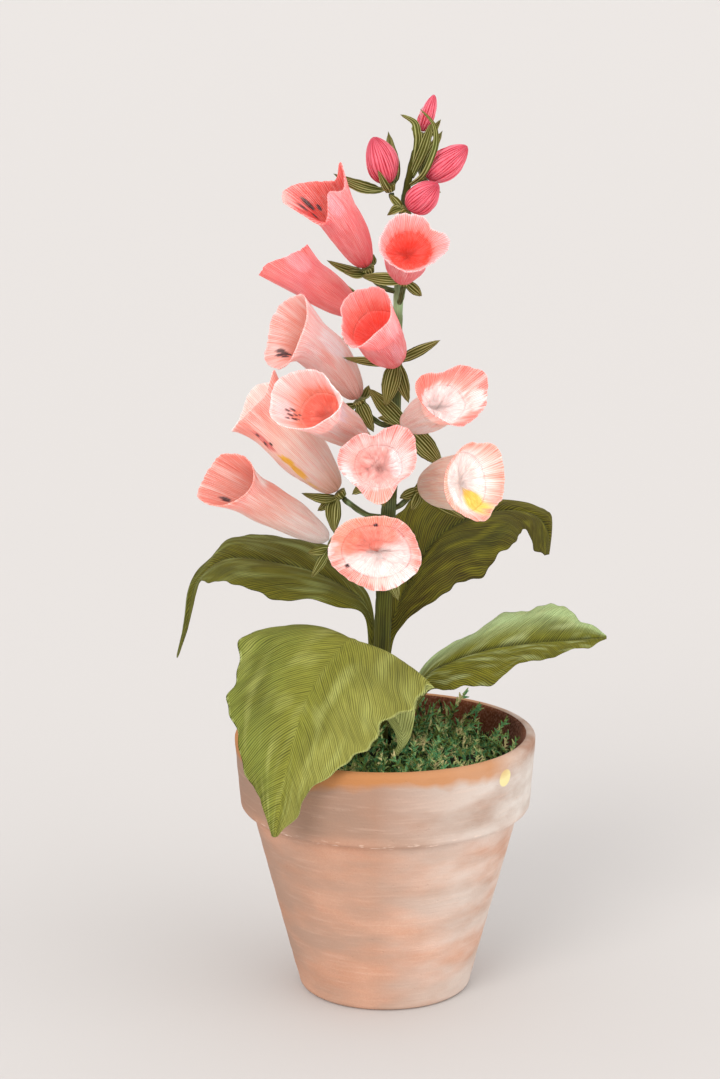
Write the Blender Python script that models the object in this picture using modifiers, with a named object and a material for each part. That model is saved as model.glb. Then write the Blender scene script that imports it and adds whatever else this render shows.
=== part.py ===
"""A crepe paper foxglove in a clay pot: pot, foam, moss, wired stem, bells, buds, calyxes and leaves."""

import math
from collections import namedtuple

import bmesh
import bpy
from mathutils import Matrix, Vector, noise

MM = 0.001
GAP = 0.3 * MM  # clearance between pieces that touch

# Clay pot, 108 mm across the rim
POT_HEIGHT = 95 * MM
RIM_RADIUS = 54 * MM
BAND_HEIGHT = 28 * MM
BAND_FOOT_RADIUS = 52.3 * MM
NECK_RADIUS = 48 * MM
FOOT_RADIUS = 31.4 * MM
WALL = 5.4 * MM
FLOOR = 8 * MM
DRAIN_RADIUS = 6 * MM
POT_STEPS = 36

# Filling
FOAM_TOP = 79 * MM
FOAM_CHAMFER = 3 * MM
HOLE_DEPTH = 1 * MM  # below the foot of each stalk
HOLE_RISE = 20 * MM  # of the cutters, above the pot
MOSS_EDGE = 84 * MM
MOSS_HEAP = 3.5 * MM
MOSS_BUMP = 4.5 * MM
MOSS_SIDES = 36
MOSS_RINGS = 8

# Paper
BELL_PAPER = 0.8 * MM
LEAF_PAPER = 0.75 * MM
LEAF_RIB = 2.4 * MM
SEPAL_PAPER = 0.7 * MM
CUP_LENGTH = 3.0 * MM
CUP_FOOT_RADIUS = 1.5 * MM
CUP_RIM_RADIUS = 2.7 * MM

# Stem: height, sideways lean and radius at each point, from the foam up to the top bud
STEM_POINTS = (
    (42, -2.0, 3.0),
    (95, -2.0, 3.0),
    (136, -0.9, 3.0),
    (172, 0.8, 2.7),
    (194, 2.2, 2.4),
    (215, 3.2, 2.1),
    (248, 4.1, 1.7),
    (264, 4.7, 1.5),
    (277, 5.4, 1.4),
    (287, 6.7, 1.3),
    (297, 8.8, 1.2),
    (302, 10.0, 1.1),
)

# base and mouth are places in mm. facing is where the mouth looks: degrees from the front towards the
# right, and degrees up. width and height are the mouth's, in mm, and tube is the tube's share of them.
# stalk is how far below the base, in mm, the stalk leaves the stem. lobes are (degrees round the mouth from
# its lower side, half width in degrees, reach and curl in mm). sepals are (degrees round the front view from
# the right, degrees towards the front, length and width in mm).
Bell = namedtuple("Bell", "colour base mouth facing width height tube stalk lobes sepals")
BELLS = (
    Bell("coral", (-6.8, -2, 262), (-20.6, -14, 286.6), (-52, 50), 16.5, 15.6, 0.92, 9,
         ((345, 66, 8, 5), (180, 20, 7, 3), (50, 22, -6, 2), (102, 30, 3.5, -3), (285, 40, 1.5, 0)),
         ((166, 5, 15, 3.4), (178, 35, 11, 3), (72, -40, 7, 3))),
    Bell("coral", (6, -10, 258.5), (8, -38, 273), (9, 22), 20, 18, 0.76, 10,
         ((90, 24, 0, 3.2), (129, 14, 0, -2), (180, 50, 1, 1.5), (270, 60, 0, 1)),
         ((174, -5, 15, 4.4), (321, 10, 8, 3.6), (115, -35, 9, 3.4))),
    Bell("coral", (-10, 5, 245), (-32, 14, 259.5), (-110, 33), 17, 17, 0.84, 9,
         ((0, 105, 10, 1), (180, 30, 0, 1), (95, 35, 2.5, 0)),
         ((130, -42, 21, 3), (240, -4, 14.5, 4.6))),
    Bell("coral", (3, -10, 230.5), (-7, -36, 249.5), (-28, 44), 19, 19, 0.88, 10,
         ((180, 60, 3, 0), (270, 50, 1, 1), (8, 30, -1, 3.5), (302, 24, 0, -2)),
         ((27, 5, 17, 3.8), (174, 12, 19, 3.2), (256, 16, 16, 6.4), (287, 0, 15, 5))),
    Bell("rose", (-9.8, -1, 215.5), (-34, -16, 241.5), (-56, 20), 19, 24, 0.70, 10,
         ((160, 30, 0.5, 2), (0, 50, 1.5, 1), (35, 35, -1, 1.5), (250, 40, 1, 1)),
         ((296, 22, 11.5, 5.4), (190, 8, 9, 3.4), (62, -38, 8, 3.4))),
    Bell("rose", (-8, -9, 203.5), (-27, -36, 220), (-38, 34), 23, 20, 0.76, 11,
         ((320, 60, 3, 2), (100, 28, 1.5, 4.5), (200, 50, 2, 1), (255, 35, 1.5, 1.5)),
         ((170, -5, 17, 3), (262, -10, 9, 4))),
    Bell("peach", (-17, 3, 182), (-45.5, 1, 213.5), (-95, 45), 20, 20, 0.94, 9,
         ((8, 40, -1, 3.5), (180, 20, 4, 5), (285, 45, 4.5, 1)),
         ((177, 5, 14, 3.8), (218, -15, 11, 4), (260, 10, 14, 6))),
    Bell("blush", (7.4, -10, 207.6), (22, -36, 221.4), (34, 28), 22, 17.5, 0.78, 11,
         ((232, 36, 1, 5), (152, 20, 1.5, 1.5), (112, 28, 3.5, 3.2), (60, 55, 1, 2), (340, 30, 0, 1)),
         ((133, 5, 19, 6), (312, -10, 20, 7.6), (165, -25, 11, 3.4))),
    Bell("blush", (-3, -10, 190), (-3, -41, 200.5), (-2, 22), 22, 20, 0.74, 12,
         ((5, 25, 2, 5), (45, 24, 0, -1.5), (88, 36, 1, 2), (145, 32, 2, 4), (189, 13, 0, -2.5),
          (218, 26, 2, -0.5), (262, 55, 1, 2.5)),
         ((42, -20, 15, 4.2), (215, 10, 11, 4.6), (283, 15, 11, 6))),
    Bell("peach", (12.8, -5, 184.5), (30.5, -33, 192), (36, 8), 18, 24, 0.80, 9,
         ((180, 50, 2, 1), (0, 55, 3, 1), (90, 50, 1, 2), (125, 28, 0, 2.5), (250, 60, -3.5, 1.5),
          (295, 28, -2, 1.5), (28, 22, 0, -2.5)),
         ((328, 15, 19, 4), (206, -10, 8, 4), (248, 10, 8, 4))),
    Bell("peach", (-20, -3, 165.6), (-54, -15, 188), (-56, 30), 17, 17, 0.84, 8,
         ((0, 50, 5.5, 1.8), (225, 50, 5, 1), (110, 50, -2, 1), (165, 35, -1.5, 1.5), (300, 45, 3.5, 0.5)),
         ((200, 12, 10, 4.2), (238, 5, 15, 3.8), (330, -40, 7, 3.4))),
    Bell("blush", (-1.2, -12, 163), (-4, -48, 171), (-6, 8), 30, 23, 0.58, 9,
         ((262, 40, 2, 0.8), (30, 50, 1, 1.5), (175, 50, 2, 1.3)),
         ((288, 0, 18, 6), (262, 0, 12, 4.6), (215, -5, 10, 4))),
)

# base, tip and width of each closed bud in mm, and its sepals
Bud = namedtuple("Bud", "base tip width stalk sepals")
BUDS = (
    Bud((12, -0.5, 308), (16.2, -3, 320.6), 5.3, 3, ((110, -50, 8, 3), (38, -15, 9.5, 3))),
    Bud((0.5, -3, 290.5), (-4.6, -6, 306.5), 11, 9,
        ((165, 5, 20, 4.4), (91, -32, 22, 5.6), (121, 48, 12, 2.8))),
    Bud((14, -2, 292), (27.5, -6, 303.4), 10, 7, ((68, -30, 21, 5), (330, 10, 7, 3))),
    Bud((7.5, -6, 282), (17.5, -10, 291), 10.5, 6, ((190, 0, 6, 3), (130, -10, 8, 3))),
)

# Bracts taped on the stem under the top bud: width, then points from the stem to the tip, in mm
BRACTS = (
    (2.8, ((8.6, -0.2, 293), (10.5, -3.8, 304), (10.3, -5.2, 308), (9.2, -5.4, 311.5), (4.6, -5.2, 314))),
    (3.6, ((8.4, -0.2, 292.5), (12, -3.8, 301), (13.7, -4.8, 306), (15.2, -5, 311))),
    (2.0, ((7.6, -0.2, 289.5), (12.3, -6.4, 293.6), (15.5, -9, 300.5), (16.7, -8, 305.6), (15.8, -8.5, 311),
           (11.2, -8, 316))),
)

# Each row holds a leaf's left edge, midrib and right edge, in mm, from the stalk's foot to the tip
LEAVES = {
    "leaf_front": (
        ((-0.2, -21, 60), (1, -21, 60), (2.2, -21, 60)),
        ((-0.2, -21, 86), (1, -21, 86), (2.2, -21, 86)),
        ((3.4, -23, 100), (6, -24, 100), (8.6, -25, 100)),
        ((-14, -17, 122), (-4, -26, 120), (11, -28, 114)),
        ((-30, -22, 139), (-11, -28, 135), (16, -32, 119)),
        ((-46, -33, 139), (-19, -38, 131), (7, -41, 115)),
        ((-52, -44, 128), (-26, -46, 122), (-3, -48, 107)),
        ((-53, -52, 115), (-30, -53, 113), (-11, -54, 101)),
        ((-48, -58, 99), (-34, -59, 99), (-25, -58, 91)),
        ((-43, -60, 88), (-36, -61, 87), (-31, -60, 82)),
        ((-39, -60, 75), (-38, -61, 75), (-37, -60, 75)),
    ),
    "leaf_left": (
        ((-6, 5.4, 66), (-4.8, 5.4, 66), (-3.6, 5.4, 66)),
        ((-6, 5.4, 118), (-4.8, 5.4, 118), (-3.6, 5.4, 118)),
        ((-8, 3, 137), (-6.5, 6, 138), (-5, 8, 140)),
        ((-21, -4, 142), (-14, 7, 146), (-12, 16, 149)),
        ((-37, -6, 145), (-27, 9, 152), (-23, 24, 158)),
        ((-50, -3, 148), (-43, 12, 155), (-42, 28, 161)),
        ((-60, 4, 149), (-56, 16, 155), (-56, 28, 159)),
        ((-66, 12, 147), (-64, 19, 150), (-63, 26, 154)),
        ((-69, 19, 140), (-70, 22, 142), (-71, 24, 143)),
        ((-72, 21, 127), (-73, 22.5, 127), (-74, 24, 127)),
        ((-76, 21.6, 116), (-76.2, 22.5, 116), (-76.4, 23.4, 116)),
    ),
    "leaf_right": (
        ((7, -2.6, 66), (7, -3.8, 66), (7, -5, 66)),
        ((7, -2.6, 92), (7, -3.8, 92), (7, -5, 92)),
        ((12, 1, 116), (13, -4, 114), (15, -7, 111)),
        ((25, 6, 126), (24, -7, 123), (24, -16, 114)),
        ((38, 8, 133), (38, -9, 128), (38, -20, 119)),
        ((52, 6, 139), (52, -10, 130), (51, -20, 126)),
        ((63, 2, 140), (63, -11, 131), (62, -19, 128)),
        ((71, -5, 136), (72, -11, 132), (71, -15, 130)),
        ((77.6, -11, 133), (77.8, -12, 132.6), (77.6, -13, 132)),
    ),
    "leaf_back": (
        ((-0.6, 8, 66), (0.6, 8, 66), (1.8, 8, 66)),
        ((-0.6, 8, 118), (0.6, 8, 118), (1.8, 8, 118)),
        ((1, 9, 136), (3.5, 8, 136), (7, 7, 133)),
        ((3, 20, 153), (9, 16, 147), (18, 9, 141)),
        ((5, 31, 170), (18, 27, 159), (30, 18, 146)),
        ((20, 44, 173), (31, 39, 165), (41, 28, 151)),
        ((39, 54, 169), (44, 49, 166), (49, 38, 158)),
        ((57, 60, 165), (57, 54, 163), (52, 44, 159)),
        ((63, 59, 162), (62, 52, 156), (56, 46, 152)),
        ((62, 53, 148), (61, 52, 148), (60, 51, 148)),
    ),
}
STALK_ROWS = 2  # steps of a leaf's rows that are its stalk
LEAF_COLUMNS = 6
LEAF_ROWS = 18
LEAF_ARCH = 0.10  # height of the arch of each half of a leaf over its width
EDGE_CUT = 0.045  # depth of the cuts in a leaf's edge over its half width
EDGE_WAVE = 0.9 * MM
SEPAL_OUTLINE = ((0.0, 0.6), (0.34, 1.0), (0.67, 0.9), (1.0, 0.18))
SEPAL_START = 1.0 * MM
SEPAL_BEND = 0.36  # sideways reach of a sepal's bend over its length
SEPAL_BEND_LEAST = 4.2 * MM
STALK_RADIUS = 1.0 * MM
STALK_STRAIGHT = 2.0 * MM  # last stretch of a stalk, in line with its flower
STALK_SAG = 0.12

BUD_SIDES = 12
BUD_RINGS = 8
BELL_SIDES = 14
BELL_RINGS = (0.0, 0.03, 0.12, 0.32, 0.56, 0.78, 0.91, 1.0)
BELL_SWELL = ((0.0, 0.0), (0.03, 0.32), (0.12, 0.58), (0.32, 0.84), (0.56, 0.96), (0.78, 1.0), (1.0, 1.0))
BELL_BEND = 0.45  # share of a bell's length that already looks where its mouth looks
FLARE_START = 0.72  # share of a bell's length where its mouth begins to open

COLOURS = {
    "coral": (0.87, 0.20, 0.19),
    "rose": (0.88, 0.42, 0.38),
    "peach": (0.91, 0.50, 0.42),
    "blush": (0.93, 0.62, 0.58),
    "bud": (0.80, 0.12, 0.18),
}


def clear_scene():
    for item in list(bpy.data.objects):
        bpy.data.objects.remove(item, do_unlink=True)


def make_collection(name):
    collection = bpy.data.collections.new(name)
    bpy.context.scene.collection.children.link(collection)
    return collection


def make_material(name, colour, roughness):
    material = bpy.data.materials.new(name)
    material.use_nodes = True
    shader = material.node_tree.nodes["Principled BSDF"]
    shader.inputs["Base Color"].default_value = (*colour, 1.0)
    shader.inputs["Roughness"].default_value = roughness
    return material


def add_object(name, mesh, collection, material=None):
    item = bpy.data.objects.new(name, mesh)
    collection.objects.link(item)
    if material:
        mesh.materials.append(material)
    return item


def finish_mesh(name, bm):
    """Close a bmesh into a smooth shaded mesh."""
    mesh = bpy.data.meshes.new(name)
    bm.to_mesh(mesh)
    bm.free()
    mesh.shade_smooth()
    return mesh


def blend(points, share):
    """A smooth curve through the points, read at a share of its length in steps."""
    last = len(points) - 1
    place = min(max(share, 0.0), 1.0) * last
    index = min(int(place), last - 1)
    t = place - index
    before = points[max(index - 1, 0)]
    start = points[index]
    end = points[index + 1]
    after = points[min(index + 2, last)]
    return 0.5 * (
        2 * start
        + (end - before) * t
        + (2 * before - 5 * start + 4 * end - after) * t * t
        + (3 * start - before - 3 * end + after) * t ** 3
    )


def read_table(table, share):
    """Linear reading between (place, value) pairs."""
    for (low, first), (high, second) in zip(table, table[1:]):
        if share <= high:
            return first + (second - first) * (share - low) / (high - low)
    return table[-1][1]


def aim(turn, rise):
    """A direction from degrees round (0 is the front, 90 the right) and degrees up."""
    turn = math.radians(turn)
    rise = math.radians(rise)
    return Vector((math.sin(turn) * math.cos(rise), -math.cos(turn) * math.cos(rise), math.sin(rise)))


def picture_aim(angle, towards):
    """A direction from degrees round the front view (0 is right, 90 is up) and degrees towards the front."""
    angle = math.radians(angle)
    towards = math.radians(towards)
    flat = math.cos(towards)
    return Vector((math.cos(angle) * flat, -math.sin(towards), math.sin(angle) * flat))


def grid_sheet(columns, rows, place, weld=False):
    """A grid whose points are put where place(u, v) says, split into triangles."""
    bm = bmesh.new()
    bmesh.ops.create_grid(bm, x_segments=columns, y_segments=rows, size=0.5)
    for vert in bm.verts:
        vert.co = place(vert.co.x + 0.5, vert.co.y + 0.5)
    if weld:
        bmesh.ops.remove_doubles(bm, verts=bm.verts, dist=0.01 * MM)
    bmesh.ops.triangulate(bm, faces=bm.faces)
    return bm


def thicken(item, thickness, offset):
    modifier = item.modifiers.new("paper", "SOLIDIFY")
    modifier.thickness = thickness
    modifier.offset = offset
    return modifier


def arc(centre, radius, start, end, steps):
    """Points of an arc in (radius, height), from start to end degrees."""
    points = []
    for step in range(steps + 1):
        angle = math.radians(start + (end - start) * step / steps)
        points.append((centre[0] + radius * math.cos(angle), centre[1] + radius * math.sin(angle)))
    return points


def inner_radius(height):
    """Radius of the pot's straight inner wall at a height."""
    slope = (NECK_RADIUS - FOOT_RADIUS) / (POT_HEIGHT - BAND_HEIGHT)
    return FOOT_RADIUS - WALL + slope * height


def pot_outline():
    lip = 2.2 * MM
    roll = 3.2 * MM
    foot = 2.6 * MM
    fillet = 3 * MM
    band_foot = POT_HEIGHT - BAND_HEIGHT
    inner_lip = inner_radius(POT_HEIGHT) + lip
    points = arc((RIM_RADIUS - lip, POT_HEIGHT - lip), lip, 90, 0, 3)
    points += arc((BAND_FOOT_RADIUS - roll, band_foot + roll), roll, 0, -80, 3)
    points.append((NECK_RADIUS, band_foot - 0.6 * MM))
    points += arc((FOOT_RADIUS - foot, foot), foot, 0, -90, 3)
    points.append((DRAIN_RADIUS, 0.0))
    points.append((DRAIN_RADIUS, FLOOR))
    points += arc((inner_radius(FLOOR) - fillet, FLOOR + fillet), fillet, -90, 0, 3)
    points += arc((inner_lip, POT_HEIGHT - lip), lip, 180, 90, 3)
    return points


def build_pot(collection, material):
    bm = bmesh.new()
    verts = [bm.verts.new((radius, 0.0, height)) for radius, height in pot_outline()]
    for first, second in zip(verts, verts[1:] + verts[:1]):
        bm.edges.new((first, second))
    mesh = bpy.data.meshes.new("pot")
    bm.to_mesh(mesh)
    bm.free()
    pot = add_object("pot", mesh, collection, material)
    screw = pot.modifiers.new("turned", "SCREW")
    screw.steps = POT_STEPS
    screw.render_steps = POT_STEPS
    screw.use_merge_vertices = True
    screw.merge_threshold = 0.00001
    screw.use_smooth_shade = True


def stalk_holes(collection):
    """Cutters for the holes that the stem and the leaf stalks stand in."""
    root, lean, stem_radius = STEM_POINTS[0]
    places = [(lean * MM, 0.0, root * MM, stem_radius * MM)]
    for rows in LEAVES.values():
        foot = Vector(rows[0][1]) * MM
        places.append((foot.x, foot.y, foot.z, 0.95 * LEAF_RIB))
    cutters = []
    for number, (x, y, low, radius) in enumerate(places):
        bm = bmesh.new()
        top = POT_HEIGHT + HOLE_RISE
        bottom = low - HOLE_DEPTH
        bmesh.ops.create_cone(
            bm, cap_ends=True, segments=10, radius1=radius + GAP, radius2=radius + GAP, depth=top - bottom,
            matrix=Matrix.Translation((x, y, 0.5 * (top + bottom))),
        )
        cutter = add_object(f"hole_{number}", finish_mesh("hole", bm), collection)
        cutter.hide_render = True
        cutter.display_type = "WIRE"
        cutters.append(cutter)
    return cutters


def cut(item, cutters):
    for cutter in cutters:
        modifier = item.modifiers.new("hole", "BOOLEAN")
        modifier.operation = "DIFFERENCE"
        modifier.object = cutter


def build_foam(collection, material, cutters):
    bm = bmesh.new()
    low = FLOOR + GAP
    bmesh.ops.create_cone(
        bm, cap_ends=True, segments=POT_STEPS, radius1=inner_radius(low) - FOAM_CHAMFER,
        radius2=inner_radius(FOAM_TOP) - 2 * GAP, depth=FOAM_TOP - low,
        matrix=Matrix.Translation((0, 0, 0.5 * (FOAM_TOP + low))),
    )
    foam = add_object("foam", finish_mesh("foam", bm), collection, material)
    cut(foam, cutters)


def moss_height(place):
    """Height of the moss's top: heaped in the middle, lumpy, with pointed tufts."""
    middle = 1 - (place.length / inner_radius(MOSS_EDGE)) ** 2
    lumps = noise.noise(place / (9 * MM)) + 0.6 * noise.noise(place / (4 * MM) + Vector((5, 2, 0)))
    tufts = max(0.0, noise.noise(place / (3.2 * MM) + Vector((0, 7, 3)))) ** 1.5
    rise = (0.25 + 0.75 * middle ** 0.5) * MOSS_BUMP
    return MOSS_EDGE + middle * MOSS_HEAP + rise * (0.55 * lumps + 1.4 * tufts)


def build_moss(collection, material, cutters):
    bottom = FOAM_TOP + GAP
    radius = inner_radius(bottom) - 2 * GAP

    def place(u, v):
        angle = 2 * math.pi * u
        flat = Vector((math.cos(angle), math.sin(angle), 0)) * radius * v
        return flat + Vector((0, 0, moss_height(flat)))

    bm = grid_sheet(MOSS_SIDES, MOSS_RINGS, place, weld=True)
    rim = [edge for edge in bm.edges if edge.is_boundary]
    made = bmesh.ops.extrude_edge_only(bm, edges=rim)
    lower = [part for part in made["geom"] if isinstance(part, bmesh.types.BMVert)]
    for vert in lower:
        vert.co.z = bottom
    lower_edges = [part for part in made["geom"] if isinstance(part, bmesh.types.BMEdge)]
    bmesh.ops.contextual_create(bm, geom=lower_edges)
    bmesh.ops.recalc_face_normals(bm, faces=bm.faces)
    moss = add_object("moss", finish_mesh("moss", bm), collection, material)
    cut(moss, cutters)


def tube(name, points, radii, collection, resolution):
    """A closed mesh tube through the points, from a bevelled curve."""
    curve = bpy.data.curves.new(name, "CURVE")
    curve.dimensions = "3D"
    curve.bevel_depth = 1.0
    curve.bevel_resolution = resolution
    curve.use_fill_caps = True
    spline = curve.splines.new("POLY")
    spline.points.add(len(points) - 1)
    for point, place, radius in zip(spline.points, points, radii):
        point.co = (*place, 1.0)
        point.radius = radius
    guide = bpy.data.objects.new(name, curve)
    bpy.context.scene.collection.objects.link(guide)
    graph = bpy.context.evaluated_depsgraph_get()
    mesh = bpy.data.meshes.new_from_object(guide.evaluated_get(graph))
    bpy.data.objects.remove(guide, do_unlink=True)
    bm = bmesh.new()
    bm.from_mesh(mesh)
    bmesh.ops.remove_doubles(bm, verts=bm.verts, dist=0.01 * MM)
    bm.to_mesh(mesh)
    bm.free()
    mesh.shade_smooth()
    return add_object(name, mesh, collection)


def fuse(item, extras):
    """Join closed pieces into the item with one Boolean union, and remove them."""
    group = make_collection(item.name + "_pieces")
    for extra in extras:
        for holder in list(extra.users_collection):
            holder.objects.unlink(extra)
        group.objects.link(extra)
    modifier = item.modifiers.new("joined", "BOOLEAN")
    modifier.operation = "UNION"
    modifier.operand_type = "COLLECTION"
    modifier.collection = group
    modifier.solver = "MANIFOLD"
    graph = bpy.context.evaluated_depsgraph_get()
    joined = bpy.data.meshes.new_from_object(item.evaluated_get(graph))
    item.modifiers.clear()
    item.data = joined
    for extra in list(group.objects):
        bpy.data.objects.remove(extra, do_unlink=True)
    bpy.data.collections.remove(group)


def stem_place(height):
    """The stem's centre at a height in mm."""
    lean = read_table([(point[0], point[1]) for point in STEM_POINTS], height)
    return Vector((lean, 0, height)) * MM


def bell_axis(bell):
    """The bell's foot, the bend of its middle line and its mouth."""
    foot = Vector(bell.base) * MM
    mouth = Vector(bell.mouth) * MM
    bend = mouth - aim(*bell.facing) * BELL_BEND * (mouth - foot).length
    return foot, bend, mouth


def bud_axis(bud):
    foot = Vector(bud.base) * MM
    tip = Vector(bud.tip) * MM
    return foot, 0.5 * (foot + tip), tip


def flower_axes():
    """Foot and outward direction of every bell and bud, with its stalk and sepals."""
    for number, bell in enumerate(BELLS):
        foot, bend, _ = bell_axis(bell)
        yield f"calyx_{number + 1:02d}", foot, (bend - foot).normalized(), bell
    for number, bud in enumerate(BUDS):
        foot, bend, _ = bud_axis(bud)
        yield f"calyx_{len(BELLS) + number + 1:02d}", foot, (bend - foot).normalized(), bud


def build_stem(collection, material):
    points = [Vector((x, 0, height)) * MM for height, x, _ in STEM_POINTS]
    radii = [radius * MM for _, _, radius in STEM_POINTS]
    stem = tube("stem", points, radii, collection, 2)
    stem.data.materials.append(material)
    stalks = []
    for name, foot, outward, flower in flower_axes():
        start = stem_place(min(flower.base[2] - flower.stalk, STEM_POINTS[-1][0] - 1))
        end = foot - outward * (CUP_LENGTH + 2 * GAP)
        straight = end - outward * STALK_STRAIGHT
        middle = 0.5 * (start + straight) - Vector((0, 0, STALK_SAG)) * (straight - start).length
        line = (start, middle, straight, end)
        stalks.append(tube("stalk_" + name, line, (STALK_RADIUS,) * 4, collection, 0))
    for number, (width, points) in enumerate(BRACTS):
        stalks.append(bract_piece(f"bract_{number}", width, points, collection))
    fuse(stem, stalks)


def paper_strip(name, middle, across, width, rows, collection):
    """A closed pointed paper strip along the line middle(v), as wide as the sepals' outline."""
    def place(u, v):
        return middle(v) + across(v) * (u - 0.5) * width * read_table(SEPAL_OUTLINE, v)

    piece = add_object(name, finish_mesh(name, grid_sheet(2, rows, place)), collection)
    thicken(piece, SEPAL_PAPER, 0.0)
    graph = bpy.context.evaluated_depsgraph_get()
    closed = bpy.data.meshes.new_from_object(piece.evaluated_get(graph))
    piece.modifiers.clear()
    piece.data = closed
    return piece


def sepal_flats(side, outward, direction):
    """Which way a sepal is wide at its cup, and at its tip, where it shows its broad face to the front."""
    flat = side.cross(outward)
    shown = direction.cross(Vector((0, 1, 0))).normalized()
    return flat, shown if shown.dot(flat) > 0 else -shown


def sepal_piece(name, centre, outward, direction, length, width, collection):
    """A strip that leaves the cup sideways and bends to its direction."""
    side = (direction - outward * direction.dot(outward)).normalized()
    start = centre + side * SEPAL_START
    bend = centre + side * max(SEPAL_BEND * length, SEPAL_BEND_LEAST)
    tip = centre + direction * length
    flat, shown = sepal_flats(side, outward, direction)

    def middle(v):
        return start * (1 - v) ** 2 + bend * 2 * v * (1 - v) + tip * v * v

    def across(v):
        return (flat * (1 - v) + shown * 1.6 * v).normalized()

    return paper_strip(name, middle, across, width, 3, collection)


def bract_piece(name, width, points, collection):
    line = [Vector(point) * MM for point in points]

    def across(v):
        step = blend(line, min(v + 0.1, 1.0)) - blend(line, max(v - 0.1, 0.0))
        return step.cross(Vector((0, -1, 0))).normalized()

    return paper_strip(name, lambda v: blend(line, v), across, width * MM, 5, collection)


def build_calyx(name, foot, outward, flower, collection, material):
    centre = foot - outward * (GAP + 0.5 * CUP_LENGTH)
    bm = bmesh.new()
    bmesh.ops.create_cone(
        bm, cap_ends=True, segments=8, radius1=CUP_FOOT_RADIUS, radius2=CUP_RIM_RADIUS, depth=CUP_LENGTH,
        matrix=Matrix.Translation(centre) @ outward.to_track_quat("Z", "Y").to_matrix().to_4x4(),
    )
    cup = add_object(name, finish_mesh(name, bm), collection, material)
    strips = []
    for number, (angle, towards, length, width) in enumerate(flower.sepals):
        direction = picture_aim(angle, towards)
        strips.append(
            sepal_piece(f"{name}_{number}", centre, outward, direction, length * MM, width * MM, collection))
    fuse(cup, strips)


def build_bell(name, bell, collection, material):
    foot, bend, mouth = bell_axis(bell)
    lip_side = Vector((0, 0.25, -1))

    def place(u, v):
        share = BELL_RINGS[round(v * (len(BELL_RINGS) - 1))]
        centre = foot * (1 - share) ** 2 + bend * 2 * share * (1 - share) + mouth * share * share
        along = ((bend - foot) * (1 - share) + (mouth - bend) * share).normalized()
        down = (lip_side - along * lip_side.dot(along)).normalized()
        across = along.cross(down)
        angle = 2 * math.pi * u
        flare = max(0.0, (share - FLARE_START) / (1 - FLARE_START))
        size = read_table(BELL_SWELL, share) * (bell.tube + (1 - bell.tube) * flare ** 1.3)
        ruffle = 1 + 0.03 * flare * math.cos(5 * angle + bell.base[2])
        outward = across * math.sin(angle) * 0.5 * bell.width + down * math.cos(angle) * 0.5 * bell.height
        point = centre + outward * size * ruffle * MM
        for middle, spread, reach, curl in bell.lobes:
            apart = (math.degrees(angle) - middle + 180) % 360 - 180
            bump = math.exp(-(apart / spread) ** 2) * flare ** 2
            point += (along * reach + outward.normalized() * curl) * bump * MM
        return point

    bm = grid_sheet(BELL_SIDES, len(BELL_RINGS) - 1, place, weld=True)
    bmesh.ops.recalc_face_normals(bm, faces=bm.faces)
    item = add_object(name, finish_mesh(name, bm), collection, material)
    thicken(item, BELL_PAPER, -1.0)


def build_bud(name, bud, collection, material):
    foot, _, tip = bud_axis(bud)
    along = (tip - foot).normalized()
    across = along.orthogonal().normalized()
    forward = along.cross(across)

    def place(u, v):
        angle = 2 * math.pi * u
        swell = math.sin(math.pi * v ** 0.9) ** 0.6 if 0 < v < 1 else 0.0
        fold = 1 + 0.07 * math.cos(3 * angle + 3 * v)
        outward = across * math.cos(angle) + forward * math.sin(angle)
        return foot + (tip - foot) * v + outward * 0.5 * bud.width * MM * swell * fold

    bm = grid_sheet(BUD_SIDES, BUD_RINGS, place, weld=True)
    bmesh.ops.recalc_face_normals(bm, faces=bm.faces)
    add_object(name, finish_mesh(name, bm), collection, material)


def build_leaf(name, rows, collection, material):
    lines = [[Vector(row[side]) * MM for row in rows] for side in range(3)]
    stalk_end = STALK_ROWS / (len(rows) - 1)

    def place(u, v):
        left, rib, right = (blend(line, v) for line in lines)
        across = 2 * u - 1
        edge = left if across < 0 else right
        share = abs(across)
        blade = min(1.0, max(0.0, (v - stalk_end) / 0.12)) * min(1.0, (1 - v) / 0.1)
        width = (edge - rib).length
        arch = Vector((0, 0, LEAF_ARCH * width)) * 4 * share * (1 - share) * blade
        cut_edge = 1 + EDGE_CUT * blade * math.sin(v * 46 + 4 * across) * share
        wave = Vector((0, 0, EDGE_WAVE)) * blade * share ** 2 * math.sin(v * 31 + 2.4 * across)
        return rib + (edge - rib) * share * cut_edge + arch + wave

    bm = grid_sheet(LEAF_COLUMNS, LEAF_ROWS, place)
    mesh = finish_mesh(name, bm)
    leaf = add_object(name, mesh, collection, material)
    rib_group = leaf.vertex_groups.new(name="rib")
    width = LEAF_COLUMNS + 1
    for index in range(len(mesh.vertices)):
        column = index % width
        along = (index // width) / LEAF_ROWS
        stalk = along < stalk_end * 0.75
        middle = column == LEAF_COLUMNS // 2
        weight = 1.0 if stalk else (0.9 - 0.6 * along if middle else 0.0)
        rib_group.add([index], weight, "REPLACE")
    paper = thicken(leaf, LEAF_RIB, 0.0)
    paper.vertex_group = "rib"
    paper.thickness_vertex_group = LEAF_PAPER / LEAF_RIB


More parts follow.
